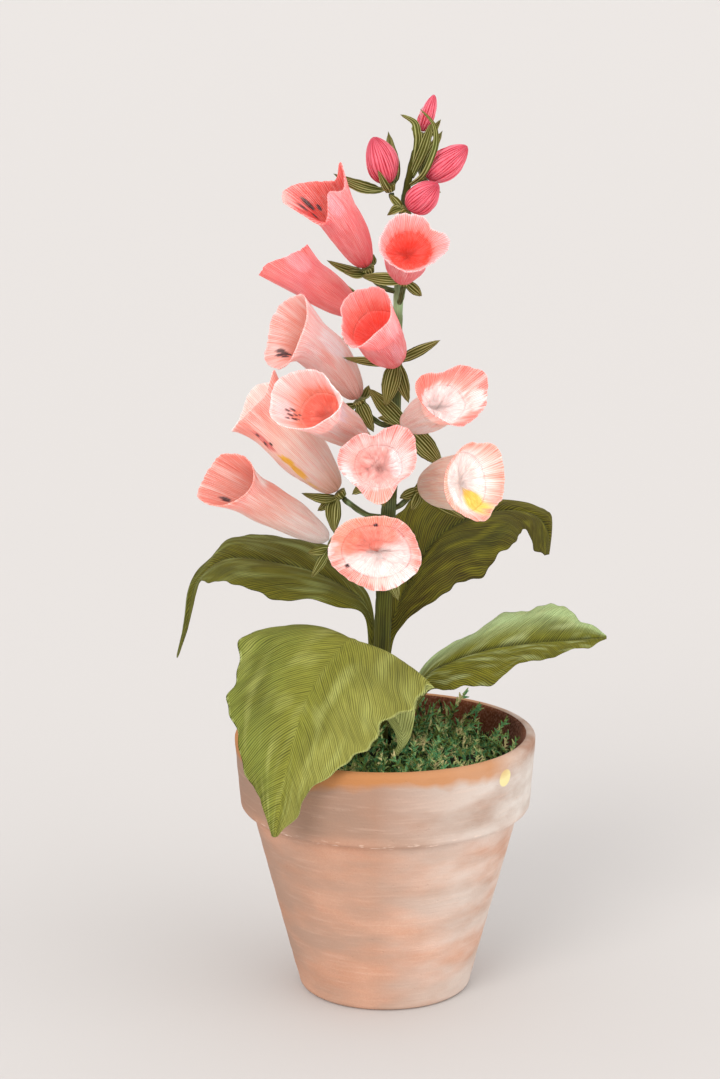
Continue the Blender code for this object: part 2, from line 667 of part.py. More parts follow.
def main():
    clear_scene()
    plant = make_collection("potted_foxglove")
    cutters = make_collection("cutters")
    clay = make_material("terracotta", (0.62, 0.36, 0.25), 0.9)
    foam_green = make_material("floral_foam", (0.10, 0.20, 0.10), 0.95)
    moss_green = make_material("dried_moss", (0.05, 0.12, 0.05), 0.95)
    tape = make_material("floral_tape", (0.11, 0.16, 0.05), 0.8)
    leaf_paper = make_material("leaf_crepe", (0.12, 0.16, 0.03), 0.85)
    bell_papers = {key: make_material(key + "_crepe", colour, 0.8) for key, colour in COLOURS.items()}

    build_pot(plant, clay)
    build_foam(plant, foam_green, stalk_holes(cutters))
    build_moss(plant, moss_green, stalk_holes(cutters))
    build_stem(plant, tape)
    for name, rows in LEAVES.items():
        build_leaf(name, rows, plant, leaf_paper)
    for name, foot, outward, flower in flower_axes():
        build_calyx(name, foot, outward, flower, plant, leaf_paper)
    for number, bell in enumerate(BELLS):
        build_bell(f"bell_{number + 1:02d}", bell, plant, bell_papers[bell.colour])
    for number, bud in enumerate(BUDS):
        build_bud(f"bud_{number + 1}", bud, plant, bell_papers["bud"])


if __name__ == "__main__":
    main()
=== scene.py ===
"""Looks of the potted foxglove: crepe paper bells, buds, calyxes and leaves on a taped wire, in a clay pot."""

import math
import random
from collections import namedtuple

import bmesh
import bpy
from mathutils import Matrix, Vector, noise


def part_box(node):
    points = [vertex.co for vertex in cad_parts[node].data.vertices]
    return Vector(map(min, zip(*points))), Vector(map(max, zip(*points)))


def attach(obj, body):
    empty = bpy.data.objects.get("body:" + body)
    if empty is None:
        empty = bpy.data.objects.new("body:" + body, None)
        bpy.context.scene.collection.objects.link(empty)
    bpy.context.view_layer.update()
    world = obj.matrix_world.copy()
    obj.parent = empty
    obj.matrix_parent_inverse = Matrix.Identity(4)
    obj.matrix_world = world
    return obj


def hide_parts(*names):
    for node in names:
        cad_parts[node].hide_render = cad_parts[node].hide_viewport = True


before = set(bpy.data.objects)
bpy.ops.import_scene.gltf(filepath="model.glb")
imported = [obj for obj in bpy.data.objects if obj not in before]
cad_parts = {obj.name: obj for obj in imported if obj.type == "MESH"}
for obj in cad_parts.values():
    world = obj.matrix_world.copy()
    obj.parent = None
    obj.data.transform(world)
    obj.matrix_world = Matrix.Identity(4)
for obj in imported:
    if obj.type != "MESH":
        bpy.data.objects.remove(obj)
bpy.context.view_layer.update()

bl_info = {
    "name": "Potted foxglove",
    "version": (1, 0, 0),
    "blender": (4, 5, 0),
    "location": "3D View > Sidebar > Foxglove",
    "description": "Dresses a crepe paper foxglove in a clay pot",
    "category": "Add Mesh",
}

POT_LOW, POT_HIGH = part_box("pot")
MM = 0.001
GRAIN = "grain"  # UV map of every paper piece, in mm: along the crepe's ridges, then across them
WELD = 0.002 * MM

# Steps round or across a sheet, and along it
LINING_ROWS = 15
BUD_STEPS = (96, 36)
CUP_STEPS = (24, 12)
SEPAL_STEPS = (40, 26)
BRACT_STEPS = (40, 30)
STEM_STEPS = (36, 340)
STALK_STEPS = (18, 36)
MAT_STEPS = (150, 60)
POT_STEPS = 168
POT_STEP_LENGTH = 2.2 * MM

# Clay pot
WALL = 5.4 * MM
RIM_RADIUS = 0.5 * (POT_HIGH.x - POT_LOW.x)
POT_HEIGHT = POT_HIGH.z
BAND_HEIGHT = 28 * MM
BAND_FOOT_RADIUS = 52.3 * MM
NECK_RADIUS = 48 * MM
FOOT_RADIUS = 31.4 * MM
FLOOR = 8 * MM
DRAIN_RADIUS = 6 * MM
MOSS_BOTTOM = 79.3 * MM
MOSS_EDGE = 84 * MM
MOSS_HEAP = 3.5 * MM
MOSS_BUMP = 4.5 * MM
MOSS_GAP = 0.6 * MM  # between the moss and the wall
SPRIG_ROOT = 1.2 * MM  # how deep a sprig is set in the mat

CUP_LENGTH = 3.0 * MM
CUP_FOOT_RADIUS = 1.5 * MM
CUP_RIM_RADIUS = 2.7 * MM
GAP = 0.3 * MM

# Stem: height, sideways lean and radius at each point, from the foam up to the top bud
STEM_POINTS = (
    (42, -2.0, 3.0),
    (95, -2.0, 3.0),
    (136, -0.9, 3.0),
    (172, 0.8, 2.7),
    (194, 2.2, 2.4),
    (215, 3.2, 2.1),
    (248, 4.1, 1.7),
    (264, 4.7, 1.5),
    (277, 5.4, 1.4),
    (287, 6.7, 1.3),
    (297, 8.8, 1.2),
    (302, 10.0, 1.1),
)
STEM_FOOT, STEM_TOP = STEM_POINTS[0][0], STEM_POINTS[-1][0]
STEM_LEANS = [(height, lean) for height, lean, _ in STEM_POINTS]
STEM_RADII = [(height, radius) for height, _, radius in STEM_POINTS]

# base and mouth are places in mm. facing is where the mouth looks: degrees from the front towards the
# right, and degrees up. width and height are the mouth's, in mm, and tube is the tube's share of them.
# stalk is how far below the base, in mm, the stalk leaves the stem. lobes are (degrees round the mouth from
# its lower side, half width in degrees, reach and curl in mm). sepals are (degrees round the front view from
# the right, degrees towards the front, length and width in mm).
Bell = namedtuple("Bell", "colour base mouth facing width height tube stalk lobes sepals")
BELLS = (
    Bell("coral", (-6.8, -2, 262), (-20.6, -14, 286.6), (-52, 50), 16.5, 15.6, 0.92, 9,
         ((345, 66, 8, 5), (180, 20, 7, 3), (50, 22, -6, 2), (102, 30, 3.5, -3), (285, 40, 1.5, 0)),
         ((166, 5, 15, 3.4), (178, 35, 11, 3), (72, -40, 7, 3))),
    Bell("coral", (6, -10, 258.5), (8, -38, 273), (9, 22), 20, 18, 0.76, 10,
         ((90, 24, 0, 3.2), (129, 14, 0, -2), (180, 50, 1, 1.5), (270, 60, 0, 1)),
         ((174, -5, 15, 4.4), (321, 10, 8, 3.6), (115, -35, 9, 3.4))),
    Bell("coral", (-10, 5, 245), (-32, 14, 259.5), (-110, 33), 17, 17, 0.84, 9,
         ((0, 105, 10, 1), (180, 30, 0, 1), (95, 35, 2.5, 0)),
         ((130, -42, 21, 3), (240, -4, 14.5, 4.6))),
    Bell("coral", (3, -10, 230.5), (-7, -36, 249.5), (-28, 44), 19, 19, 0.88, 10,
         ((180, 60, 3, 0), (270, 50, 1, 1), (8, 30, -1, 3.5), (302, 24, 0, -2)),
         ((27, 5, 17, 3.8), (174, 12, 19, 3.2), (256, 16, 16, 6.4), (287, 0, 15, 5))),
    Bell("rose", (-9.8, -1, 215.5), (-34, -16, 241.5), (-56, 20), 19, 24, 0.70, 10,
         ((160, 30, 0.5, 2), (0, 50, 1.5, 1), (35, 35, -1, 1.5), (250, 40, 1, 1)),
         ((296, 22, 11.5, 5.4), (190, 8, 9, 3.4), (62, -38, 8, 3.4))),
    Bell("rose", (-8, -9, 203.5), (-27, -36, 220), (-38, 34), 23, 20, 0.76, 11,
         ((320, 60, 3, 2), (100, 28, 1.5, 4.5), (200, 50, 2, 1), (255, 35, 1.5, 1.5)),
         ((170, -5, 17, 3), (262, -10, 9, 4))),
    Bell("peach", (-17, 3, 182), (-45.5, 1, 213.5), (-95, 45), 20, 20, 0.94, 9,
         ((8, 40, -1, 3.5), (180, 20, 4, 5), (285, 45, 4.5, 1)),
         ((177, 5, 14, 3.8), (218, -15, 11, 4), (260, 10, 14, 6))),
    Bell("blush", (7.4, -10, 207.6), (22, -36, 221.4), (34, 28), 22, 17.5, 0.78, 11,
         ((232, 36, 1, 5), (152, 20, 1.5, 1.5), (112, 28, 3.5, 3.2), (60, 55, 1, 2), (340, 30, 0, 1)),
         ((133, 5, 19, 6), (312, -10, 20, 7.6), (165, -25, 11, 3.4))),
    Bell("blush", (-3, -10, 190), (-3, -41, 200.5), (-2, 22), 22, 20, 0.74, 12,
         ((5, 25, 2, 5), (45, 24, 0, -1.5), (88, 36, 1, 2), (145, 32, 2, 4), (189, 13, 0, -2.5),
          (218, 26, 2, -0.5), (262, 55, 1, 2.5)),
         ((42, -20, 15, 4.2), (215, 10, 11, 4.6), (283, 15, 11, 6))),
    Bell("peach", (12.8, -5, 184.5), (30.5, -33, 192), (36, 8), 18, 24, 0.80, 9,
         ((180, 50, 2, 1), (0, 55, 3, 1), (90, 50, 1, 2), (125, 28, 0, 2.5), (250, 60, -3.5, 1.5),
          (295, 28, -2, 1.5), (28, 22, 0, -2.5)),
         ((328, 15, 19, 4), (206, -10, 8, 4), (248, 10, 8, 4))),
    Bell("peach", (-20, -3, 165.6), (-54, -15, 188), (-56, 30), 17, 17, 0.84, 8,
         ((0, 50, 5.5, 1.8), (225, 50, 5, 1), (110, 50, -2, 1), (165, 35, -1.5, 1.5), (300, 45, 3.5, 0.5)),
         ((200, 12, 10, 4.2), (238, 5, 15, 3.8), (330, -40, 7, 3.4))),
    Bell("blush", (-1.2, -12, 163), (-4, -48, 171), (-6, 8), 30, 23, 0.58, 9,
         ((262, 40, 2, 0.8), (30, 50, 1, 1.5), (175, 50, 2, 1.3)),
         ((288, 0, 18, 6), (262, 0, 12, 4.6), (215, -5, 10, 4))),
)

# base, tip and width of each closed bud in mm, and its sepals
Bud = namedtuple("Bud", "base tip width stalk sepals")
BUDS = (
    Bud((12, -0.5, 308), (16.2, -3, 320.6), 5.3, 3, ((110, -50, 8, 3), (38, -15, 9.5, 3))),
    Bud((0.5, -3, 290.5), (-4.6, -6, 306.5), 11, 9,
        ((165, 5, 20, 4.4), (91, -32, 22, 5.6), (121, 48, 12, 2.8))),
    Bud((14, -2, 292), (27.5, -6, 303.4), 10, 7, ((68, -30, 21, 5), (330, 10, 7, 3))),
    Bud((7.5, -6, 282), (17.5, -10, 291), 10.5, 6, ((190, 0, 6, 3), (130, -10, 8, 3))),
)

# Bracts taped on the stem under the top bud: width, then points from the stem to the tip, in mm
BRACTS = (
    (2.8, ((8.6, -0.2, 293), (10.5, -3.8, 304), (10.3, -5.2, 308), (9.2, -5.4, 311.5), (4.6, -5.2, 314))),
    (3.6, ((8.4, -0.2, 292.5), (12, -3.8, 301), (13.7, -4.8, 306), (15.2, -5, 311))),
    (2.0, ((7.6, -0.2, 289.5), (12.3, -6.4, 293.6), (15.5, -9, 300.5), (16.7, -8, 305.6), (15.8, -8.5, 311),
           (11.2, -8, 316))),
)

# Each row holds a leaf's left edge, midrib and right edge, in mm, from the stalk's foot to the tip
LEAVES = {
    "leaf_front": (
        ((-0.2, -21, 60), (1, -21, 60), (2.2, -21, 60)),
        ((-0.2, -21, 86), (1, -21, 86), (2.2, -21, 86)),
        ((3.4, -23, 100), (6, -24, 100), (8.6, -25, 100)),
        ((-14, -17, 122), (-4, -26, 120), (11, -28, 114)),
        ((-30, -22, 139), (-11, -28, 135), (16, -32, 119)),
        ((-46, -33, 139), (-19, -38, 131), (7, -41, 115)),
        ((-52, -44, 128), (-26, -46, 122), (-3, -48, 107)),
        ((-53, -52, 115), (-30, -53, 113), (-11, -54, 101)),
        ((-48, -58, 99), (-34, -59, 99), (-25, -58, 91)),
        ((-43, -60, 88), (-36, -61, 87), (-31, -60, 82)),
        ((-39, -60, 75), (-38, -61, 75), (-37, -60, 75)),
    ),
    "leaf_left": (
        ((-6, 5.4, 66), (-4.8, 5.4, 66), (-3.6, 5.4, 66)),
        ((-6, 5.4, 118), (-4.8, 5.4, 118), (-3.6, 5.4, 118)),
        ((-8, 3, 137), (-6.5, 6, 138), (-5, 8, 140)),
        ((-21, -4, 142), (-14, 7, 146), (-12, 16, 149)),
        ((-37, -6, 145), (-27, 9, 152), (-23, 24, 158)),
        ((-50, -3, 148), (-43, 12, 155), (-42, 28, 161)),
        ((-60, 4, 149), (-56, 16, 155), (-56, 28, 159)),
        ((-66, 12, 147), (-64, 19, 150), (-63, 26, 154)),
        ((-69, 19, 140), (-70, 22, 142), (-71, 24, 143)),
        ((-72, 21, 127), (-73, 22.5, 127), (-74, 24, 127)),
        ((-76, 21.6, 116), (-76.2, 22.5, 116), (-76.4, 23.4, 116)),
    ),
    "leaf_right": (
        ((7, -2.6, 66), (7, -3.8, 66), (7, -5, 66)),
        ((7, -2.6, 92), (7, -3.8, 92), (7, -5, 92)),
        ((12, 1, 116), (13, -4, 114), (15, -7, 111)),
        ((25, 6, 126), (24, -7, 123), (24, -16, 114)),
        ((38, 8, 133), (38, -9, 128), (38, -20, 119)),
        ((52, 6, 139), (52, -10, 130), (51, -20, 126)),
        ((63, 2, 140), (63, -11, 131), (62, -19, 128)),
        ((71, -5, 136), (72, -11, 132), (71, -15, 130)),
        ((77.6, -11, 133), (77.8, -12, 132.6), (77.6, -13, 132)),
    ),
    "leaf_back": (
        ((-0.6, 8, 66), (0.6, 8, 66), (1.8, 8, 66)),
        ((-0.6, 8, 118), (0.6, 8, 118), (1.8, 8, 118)),
        ((1, 9, 136), (3.5, 8, 136), (7, 7, 133)),
        ((3, 20, 153), (9, 16, 147), (18, 9, 141)),
        ((5, 31, 170), (18, 27, 159), (30, 18, 146)),
        ((20, 44, 173), (31, 39, 165), (41, 28, 151)),
        ((39, 54, 169), (44, 49, 166), (49, 38, 158)),
        ((57, 60, 165), (57, 54, 163), (52, 44, 159)),
        ((63, 59, 162), (62, 52, 156), (56, 46, 152)),
        ((62, 53, 148), (61, 52, 148), (60, 51, 148)),
    ),
}
STALK_ROWS = 2  # steps of a leaf's rows that are its stalk
LEAF_ARCH = 0.10  # height of the arch of each half of a leaf over its width
EDGE_CUT = 0.045  # depth of the cuts in a leaf's edge over its half width
EDGE_WAVE = 0.9 * MM
SEPAL_OUTLINE = ((0.0, 0.6), (0.34, 1.0), (0.67, 0.9), (1.0, 0.18))
SEPAL_START = 1.0 * MM
SEPAL_BEND = 0.36  # sideways reach of a sepal's bend over its length
SEPAL_BEND_LEAST = 4.2 * MM
STALK_RADIUS = 1.0 * MM
STALK_GIRTH = 6.3  # in mm, as are the next two
STALK_LENGTH = 16
STEM_GIRTH = 16
STALK_STRAIGHT = 2.0 * MM  # last stretch of a stalk, in line with its flower
STALK_SAG = 0.12  # how far a stalk hangs over its length

BELL_SWELL = ((0.0, 0.0), (0.03, 0.32), (0.12, 0.58), (0.32, 0.84), (0.56, 0.96), (0.78, 1.0), (1.0, 1.0))
BELL_BEND = 0.45  # share of a bell's length that already looks where its mouth looks
FLARE_START = 0.72  # share of a bell's length where its mouth begins to open
RUFFLES = ((7, 0.6, 1), (12, 0.5, 2.1), (23, 0.6, 0.6))  # waves round a rim: how many, how high, how they shift


def linear(code):
    """An sRGB hex colour as linear red, green and blue."""
    channels = [int(code[index:index + 2], 16) / 255 for index in (0, 2, 4)]
    return tuple(c / 12.92 if c <= 0.04045 else ((c + 0.055) / 1.055) ** 2.4 for c in channels)


# A patch of dye on a bell, or of painted highlight where noted: where round the mouth in degrees and along the bell
# (0 the base, 1 the rim), how far it reaches either way, its colour and how strong it is. A spot has its length and
# width in mm.
Patch = namedtuple("Patch", "face angle share wide long colour strength")
Spot = namedtuple("Spot", "face angle share length width")
Dye = namedtuple("Dye", "outside inside patches spots")
# The dark first stops of some outside ramps are painted shade at the bell's root, where it meets its cup
DYES = (
    Dye(((0, "6D2211"), (0.05, "C03A38"), (0.12, "F0585C"), (0.5, "F76C6E"), (0.9, "FB7578"), (1, "FF9496")),
        ((0, "E83A2C"), (0.6, "F24434"), (0.84, "CC281E"), (0.93, "CE3228"), (1, "E85C56")),
        (Patch("outside", 90, 0.9, 22, 0.12, "FF9CA4", 0.7), Patch("inside", 345, 1.0, 30, 0.08, "F4A09A", 0.8)),
        (Spot("inside", 310, 0.87, 3.4, 1.7), Spot("inside", 331, 0.89, 2.0, 1.3),
         Spot("inside", 294, 0.80, 2.0, 1.4), Spot("inside", 327, 0.79, 2.2, 1.2))),
    Dye(((0, "8C2A28"), (0.08, "F05058"), (0.5, "FA666A"), (0.9, "FB7E80"), (1, "FE9A9C")),
        ((0, "FF4A34"), (0.75, "FF5038"), (0.79, "FC7A70"), (0.83, "FC8C88"), (0.92, "FC9896"), (1, "FDA6A8")),
        (Patch("inside", 129, 0.95, 18, 0.12, "FE938D", 0.8),), ()),
    Dye(((0, "8C2A28"), (0.08, "E85A58"), (0.4, "F37470"), (0.8, "F66E74"), (1, "FB6460")),
        ((0, "FF3A22"), (0.62, "FF4A36"), (1, "FB7870")),
        # Painted highlight on bell 3's upper side near the mouth
        (Patch("outside", 144, 0.89, 30, 0.16, "FFA0A8", 0.6),), ()),
    Dye(((0, "8C2420"), (0.06, "E8484A"), (0.4, "F4686A"), (0.85, "FD7678"), (1, "FE9092")),
        ((0, "FF5240"), (0.55, "FF5844"), (0.83, "FE6A5C"), (0.88, "FC827C"), (1, "FC8E8C")),
        (Patch("outside", 88, 0.83, 24, 0.18, "FE9CA2", 0.6), Patch("outside", 64, 0.44, 22, 0.2, "FA949C", 0.5)),
        ()),
    Dye(((0, "B87868"), (0.12, "F0B0A0"), (0.31, "FCC0B2"), (0.5, "FED4CC"), (0.82, "FCC4C2"), (1, "F6B4B0")),
        ((0, "E08272"), (0.6, "E88876"), (0.83, "EA8C7C"), (0.92, "F0A49A"), (1, "EE9890")),
        # The first patch is a painted highlight on bell 5's tube
        (Patch("outside", 126, 0.58, 24, 0.2, "FCF0F0", 0.9), Patch("outside", 88, 0.53, 16, 0.12, "FEA89C", 0.7)),
        (Spot("inside", 325, 0.86, 3.2, 2.2), Spot("inside", 333, 0.81, 3.0, 2.4),
         Spot("inside", 338, 0.87, 2.6, 1.8), Spot("inside", 345, 0.82, 2.6, 1.6),
         Spot("inside", 334, 0.76, 1.8, 1.2))),
    Dye(((0, "C07060"), (0.15, "FCB4A4"), (0.5, "FFB6A6"), (0.85, "FBB2AE"), (1, "F8ACA8")),
        ((0, "FF7C64"), (0.6, "FF846C"), (0.80, "FF907A"), (0.86, "FBACA2"), (1, "FBC0BC")),
        (Patch("inside", 303, 0.9, 26, 0.08, "FBD0D0", 0.9), Patch("inside", 146, 1.0, 26, 0.06, "FFF2F0", 0.95),
         Patch("outside", 110, 0.75, 26, 0.14, "FAC4CA", 0.8)),
        (Spot("inside", 292, 0.82, 2.2, 0.9), Spot("inside", 296, 0.74, 1.6, 0.8),
         Spot("inside", 299, 0.87, 1.8, 0.9), Spot("inside", 301, 0.79, 2.0, 0.9),
         Spot("inside", 305, 0.70, 1.6, 0.8), Spot("inside", 307, 0.84, 2.2, 1.0),
         Spot("inside", 311, 0.77, 1.6, 0.8), Spot("inside", 315, 0.81, 1.8, 0.9),
         Spot("inside", 295, 0.66, 1.2, 0.7), Spot("inside", 318, 0.87, 1.4, 0.8))),
    Dye(((0, "C08C74"), (0.1, "E4B09A"), (0.3, "F8CEC0"), (0.6, "FCC4B4"), (0.78, "F6A698"), (0.9, "F28478"),
         (1, "F89C92")),
        ((0, "F4B8A0"), (0.6, "F8C2B0"), (0.9, "FAC6BA"), (1, "FBD0C6")),
        (Patch("outside", 68, 0.72, 9, 0.15, "C4484A", 0.7), Patch("outside", 70, 0.47, 13, 0.08, "F0AA00", 1.0),
         Patch("outside", 68, 0.34, 12, 0.10, "F0AA00", 1.0), Patch("outside", 60, 0.2, 7, 0.06, "E8B040", 0.8)),
        (Spot("outside", 68, 0.80, 1.7, 1.3), Spot("outside", 65, 0.70, 1.7, 1.4),
         Spot("outside", 76, 0.67, 1.5, 1.1))),
    Dye(((0, "E0A890"), (0.15, "F1CABA"), (0.4, "F4CEC0"), (0.7, "FAC0B0"), (1, "F8A096")),
        ((0, "FCEEE8"), (0.5, "FFFAF8"), (0.78, "FFF0EC"), (0.85, "F89E92"), (0.94, "F07468"), (1, "E8665C")),
        (Patch("outside", 330, 0.5, 30, 0.2, "F4E0DA", 0.8), Patch("inside", 232, 0.94, 60, 0.13, "EC6656", 0.95),
         Patch("inside", 70, 0.9, 30, 0.08, "FFF4F0", 0.8)), ()),
    Dye(((0, "E0A890"), (0.2, "F2CABA"), (0.6, "F4C2B6"), (0.9, "F2A49A"), (1, "F2968C")),
        ((0, "FFC8BE"), (0.3, "FFC8C0"), (0.6, "FFCEC6"), (0.78, "FFD0CA"), (0.86, "FCC8C4"), (0.94, "F8AEAA"),
         (1, "E87E78")),
        (Patch("inside", 298, 0.94, 28, 0.08, "FFF2F2", 0.9), Patch("inside", 100, 0.6, 52, 0.35, "FFFAFA", 1.0),
         Patch("inside", 166, 0.8, 30, 0.12, "FED8D4", 0.8), Patch("inside", 5, 0.93, 26, 0.12, "F09E8E", 0.85),
         Patch("inside", 262, 0.6, 50, 0.3, "FFA89C", 0.7)),
        ()),
    Dye(((0, "F8C4A4"), (0.2, "FFD2B6"), (0.5, "FFCCB2"), (0.8, "FFCAB4"), (1, "FA9E88")),
        ((0, "FFF6F0"), (0.6, "FFFDFB"), (0.82, "FFEEEA"), (0.92, "FBB4A8"), (1, "F08472")),
        (Patch("inside", 273, 0.96, 42, 0.08, "FEA490", 0.9), Patch("inside", 18, 0.56, 36, 0.46, "FFD242", 1.0)),
        ()),
    Dye(((0, "F8DCD2"), (0.2, "F6D0C4"), (0.41, "F4B8A8"), (0.75, "F6A294"), (0.9, "F7968E"), (1, "F48C80")),
        ((0, "D47260"), (0.6, "DC7866"), (0.9, "E47E6E"), (1, "E47668")),
        (Patch("outside", 164, 0.84, 26, 0.12, "F8ECE6", 0.9),), (Spot("inside", 326, 0.85, 3.0, 2.0),)),
    Dye(((0, "F4DCCC"), (0.3, "F4CDBE"), (0.8, "F6AEA2"), (1, "F48E86")),
        ((0, "FFEEE8"), (0.2, "FFF4EF"), (0.5, "FFF8F5"), (0.82, "FFEAE6"), (0.92, "F8A298"), (1, "EC7468")),
        (Patch("inside", 205, 0.5, 95, 0.7, "FF937E", 0.95), Patch("inside", 248, 0.72, 40, 0.3, "FF8A70", 0.8),
         Patch("inside", 40, 0.93, 30, 0.1, "FFF2EE", 0.9), Patch("inside", 8, 0.9, 20, 0.1, "FED6CC", 0.7),
         Patch("inside", 334, 0.9, 20, 0.08, "FCA298", 0.8), Patch("inside", 140, 0.92, 22, 0.08, "F89A92", 0.9),
         Patch("inside", 268, 1.0, 14, 0.05, "F6CCCA", 0.8)),
        (Spot("inside", 182, 0.89, 2.2, 1.6), Spot("inside", 306, 0.88, 2.4, 1.7))),
)


def rgba(colour):
    return (*colour, 1.0)


def on_circle(u):
    """A place on the unit circle at a share of a turn, for noise that closes round a piece."""
    return Vector((math.cos(2 * math.pi * u), math.sin(2 * math.pi * u), 0))


def bent_line(points, share):
    """A place on the line that runs from the first point to the last and bends towards the middle one."""
    start, bend, end = points
    return start * (1 - share) ** 2 + bend * 2 * share * (1 - share) + end * share * share


def bent_aim(points, share):
    """Where the same line is going there."""
    start, bend, end = points
    return ((bend - start) * (1 - share) + (end - bend) * share).normalized()


def read_table(table, share):
    """Linear reading between (place, value) pairs."""
    for (low, first), (high, second) in zip(table, table[1:]):
        if share <= high:
            return first + (second - first) * (share - low) / (high - low)
    return table[-1][1]


def smooth_read(table, place):
    """Smooth reading between (place, value) pairs."""
    last = len(table) - 2
    index = 0
    while index < last and place > table[index + 1][0]:
        index += 1
    (low, first), (high, second) = table[index:index + 2]
    before = table[max(index - 1, 0)]
    after = table[min(index + 2, last + 1)]
    width = high - low
    start = (second - before[1]) / (high - before[0]) * width
    end = (after[1] - first) / (after[0] - low) * width
    t = (place - low) / width
    rise = second - first
    return first + start * t + (3 * rise - 2 * start - end) * t ** 2 + (start + end - 2 * rise) * t ** 3


def blend(points, share):
    """A smooth curve through the points, read at a share of its length in steps."""
    last = len(points) - 1
    place = min(max(share, 0.0), 1.0) * last
    index = min(int(place), last - 1)
    t = place - index
    before = points[max(index - 1, 0)]
    start = points[index]
    end = points[index + 1]
    after = points[min(index + 2, last)]
    return 0.5 * (
        2 * start
        + (end - before) * t
        + (2 * before - 5 * start + 4 * end - after) * t * t
        + (3 * start - before - 3 * end + after) * t ** 3
    )


def smoothstep(low, high, value):
    t = min(max((value - low) / (high - low), 0.0), 1.0)
    return t * t * (3 - 2 * t)


def bell_curve(apart, spread):
    return math.exp(-(apart / spread) ** 2)


def turn_between(angle, middle):
    """Degrees from middle to angle, from -180 to 180."""
    return (angle - middle + 180) % 360 - 180


def aim(turn, rise):
    """A direction from degrees round (0 is the front, 90 the right) and degrees up."""
    turn = math.radians(turn)
    rise = math.radians(rise)
    return Vector((math.sin(turn) * math.cos(rise), -math.cos(turn) * math.cos(rise), math.sin(rise)))


def picture_aim(angle, towards):
    """A direction from degrees round the front view (0 is right, 90 is up) and degrees towards the front."""
    angle = math.radians(angle)
    towards = math.radians(towards)
    flat = math.cos(towards)
    return Vector((math.cos(angle) * flat, -math.sin(towards), math.sin(angle) * flat))


def mix(first, second, amount):
    """A colour between two."""
    return tuple(a + (b - a) * amount for a, b in zip(first, second))


def dye_ramp(stops):
    """A reader of linear colour along (share, hex) stops."""
    table = [(share, linear(code)) for share, code in stops]

    def read(share):
        for (low, first), (high, second) in zip(table, table[1:]):
            if share <= high:
                return mix(first, second, (share - low) / (high - low))
        return table[-1][1]

    return read


def new_mesh(*layers):
    """An empty bmesh with the grain UV and colour layers."""
    bm = bmesh.new()
    bm.loops.layers.uv.new(GRAIN)
    for layer in layers:
        bm.verts.layers.float_color.new(layer)
    return bm


def add_sheet(bm, columns, rows, place, grain, paints, slot=0):
    """Add a grid put where place(u, v) says, with its grain in mm, its colours by layer and its material slot."""
    uv = bm.loops.layers.uv[GRAIN]
    verts = bmesh.ops.create_grid(bm, x_segments=columns, y_segments=rows, size=0.5)["verts"]
    faces = {face for vert in verts for face in vert.link_faces}
    for face in faces:
        face.material_index = slot
        side = sum(vert.co.x for vert in face.verts) / len(face.verts) + 0.5
        for loop in face.loops:
            loop[uv].uv = grain(loop.vert.co.x + 0.5, loop.vert.co.y + 0.5, side)
    layers = [(bm.verts.layers.float_color[name], paint) for name, paint in paints.items()]
    for vert in verts:
        u = vert.co.x + 0.5
        v = vert.co.y + 0.5
        for layer, paint in layers:
            vert[layer] = rgba(paint(u, v))
        vert.co = place(u, v)


def tube_grain(length, girth, shift=0, bias=1.0):
    """Grain of a tube of a length and girth in mm, shifted so that no two pieces show the same."""
    def grain(u, v, _):
        return v ** bias * length + shift, u * girth

    return grain


def finished_mesh(name, bm):
    """The bmesh as a mesh."""
    mesh = bpy.data.meshes.new(name)
    bm.to_mesh(mesh)
    bm.free()
    return mesh


def add_object(name, data):
    """A new object in the scene."""
    item = bpy.data.objects.new(name, data)
    bpy.context.scene.collection.objects.link(item)
    return item


def add_piece(name, mesh, materials):
    """A piece of the object made from a mesh."""
    for material in materials:
        mesh.materials.append(material)
    piece = add_object(name, mesh)
    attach(piece, "root")
    return piece


def new_piece(name, bm, materials, node):
    """Weld the bmesh into a smooth piece that stands for a CAD node."""
    bmesh.ops.remove_doubles(bm, verts=bm.verts, dist=WELD)
    bmesh.ops.recalc_face_normals(bm, faces=bm.faces)
    mesh = finished_mesh(name, bm)
    mesh.shade_smooth()
    piece = add_piece(name, mesh, materials)
    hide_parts(node)
    return piece


def add_node(tree, kind, values=None, stops=None, **settings):
    """Add a node: settings are its own, stops a ramp's, and values are numbers, colours or sockets."""
    node = tree.nodes.new(kind)
    for key, value in settings.items():
        setattr(node, key, value)
    if stops:
        elements = node.color_ramp.elements
        while len(elements) < len(stops):
            elements.new(1.0)
        for element, (place, colour) in zip(elements, stops):
            element.position = place
            element.color = colour
    for key, value in (values or {}).items():
        if isinstance(value, bpy.types.NodeSocket):
            tree.links.new(value, node.inputs[key])
        else:
            node.inputs[key].default_value = value
    return node


def new_material(name, roughness, specular):
    """A material with its node tree and Principled shader."""
    material = bpy.data.materials.new(name)
    material.use_nodes = True
    shader = material.node_tree.nodes["Principled BSDF"]
    shader.inputs["Roughness"].default_value = roughness
    shader.inputs["Specular IOR Level"].default_value = specular
    return material, material.node_tree, shader


def grey(value):
    return (value, value, value, 1.0)


# A colour laid over another: how strongly, how it blends, in which ranges of other values (value, where it starts,
# where it is full), and which pattern it follows, with (value of the pattern, how much shows there) pairs
Layer = namedtuple("Layer", "colour strength ranges pattern shows blend", defaults=((), None, (), "MIX"))


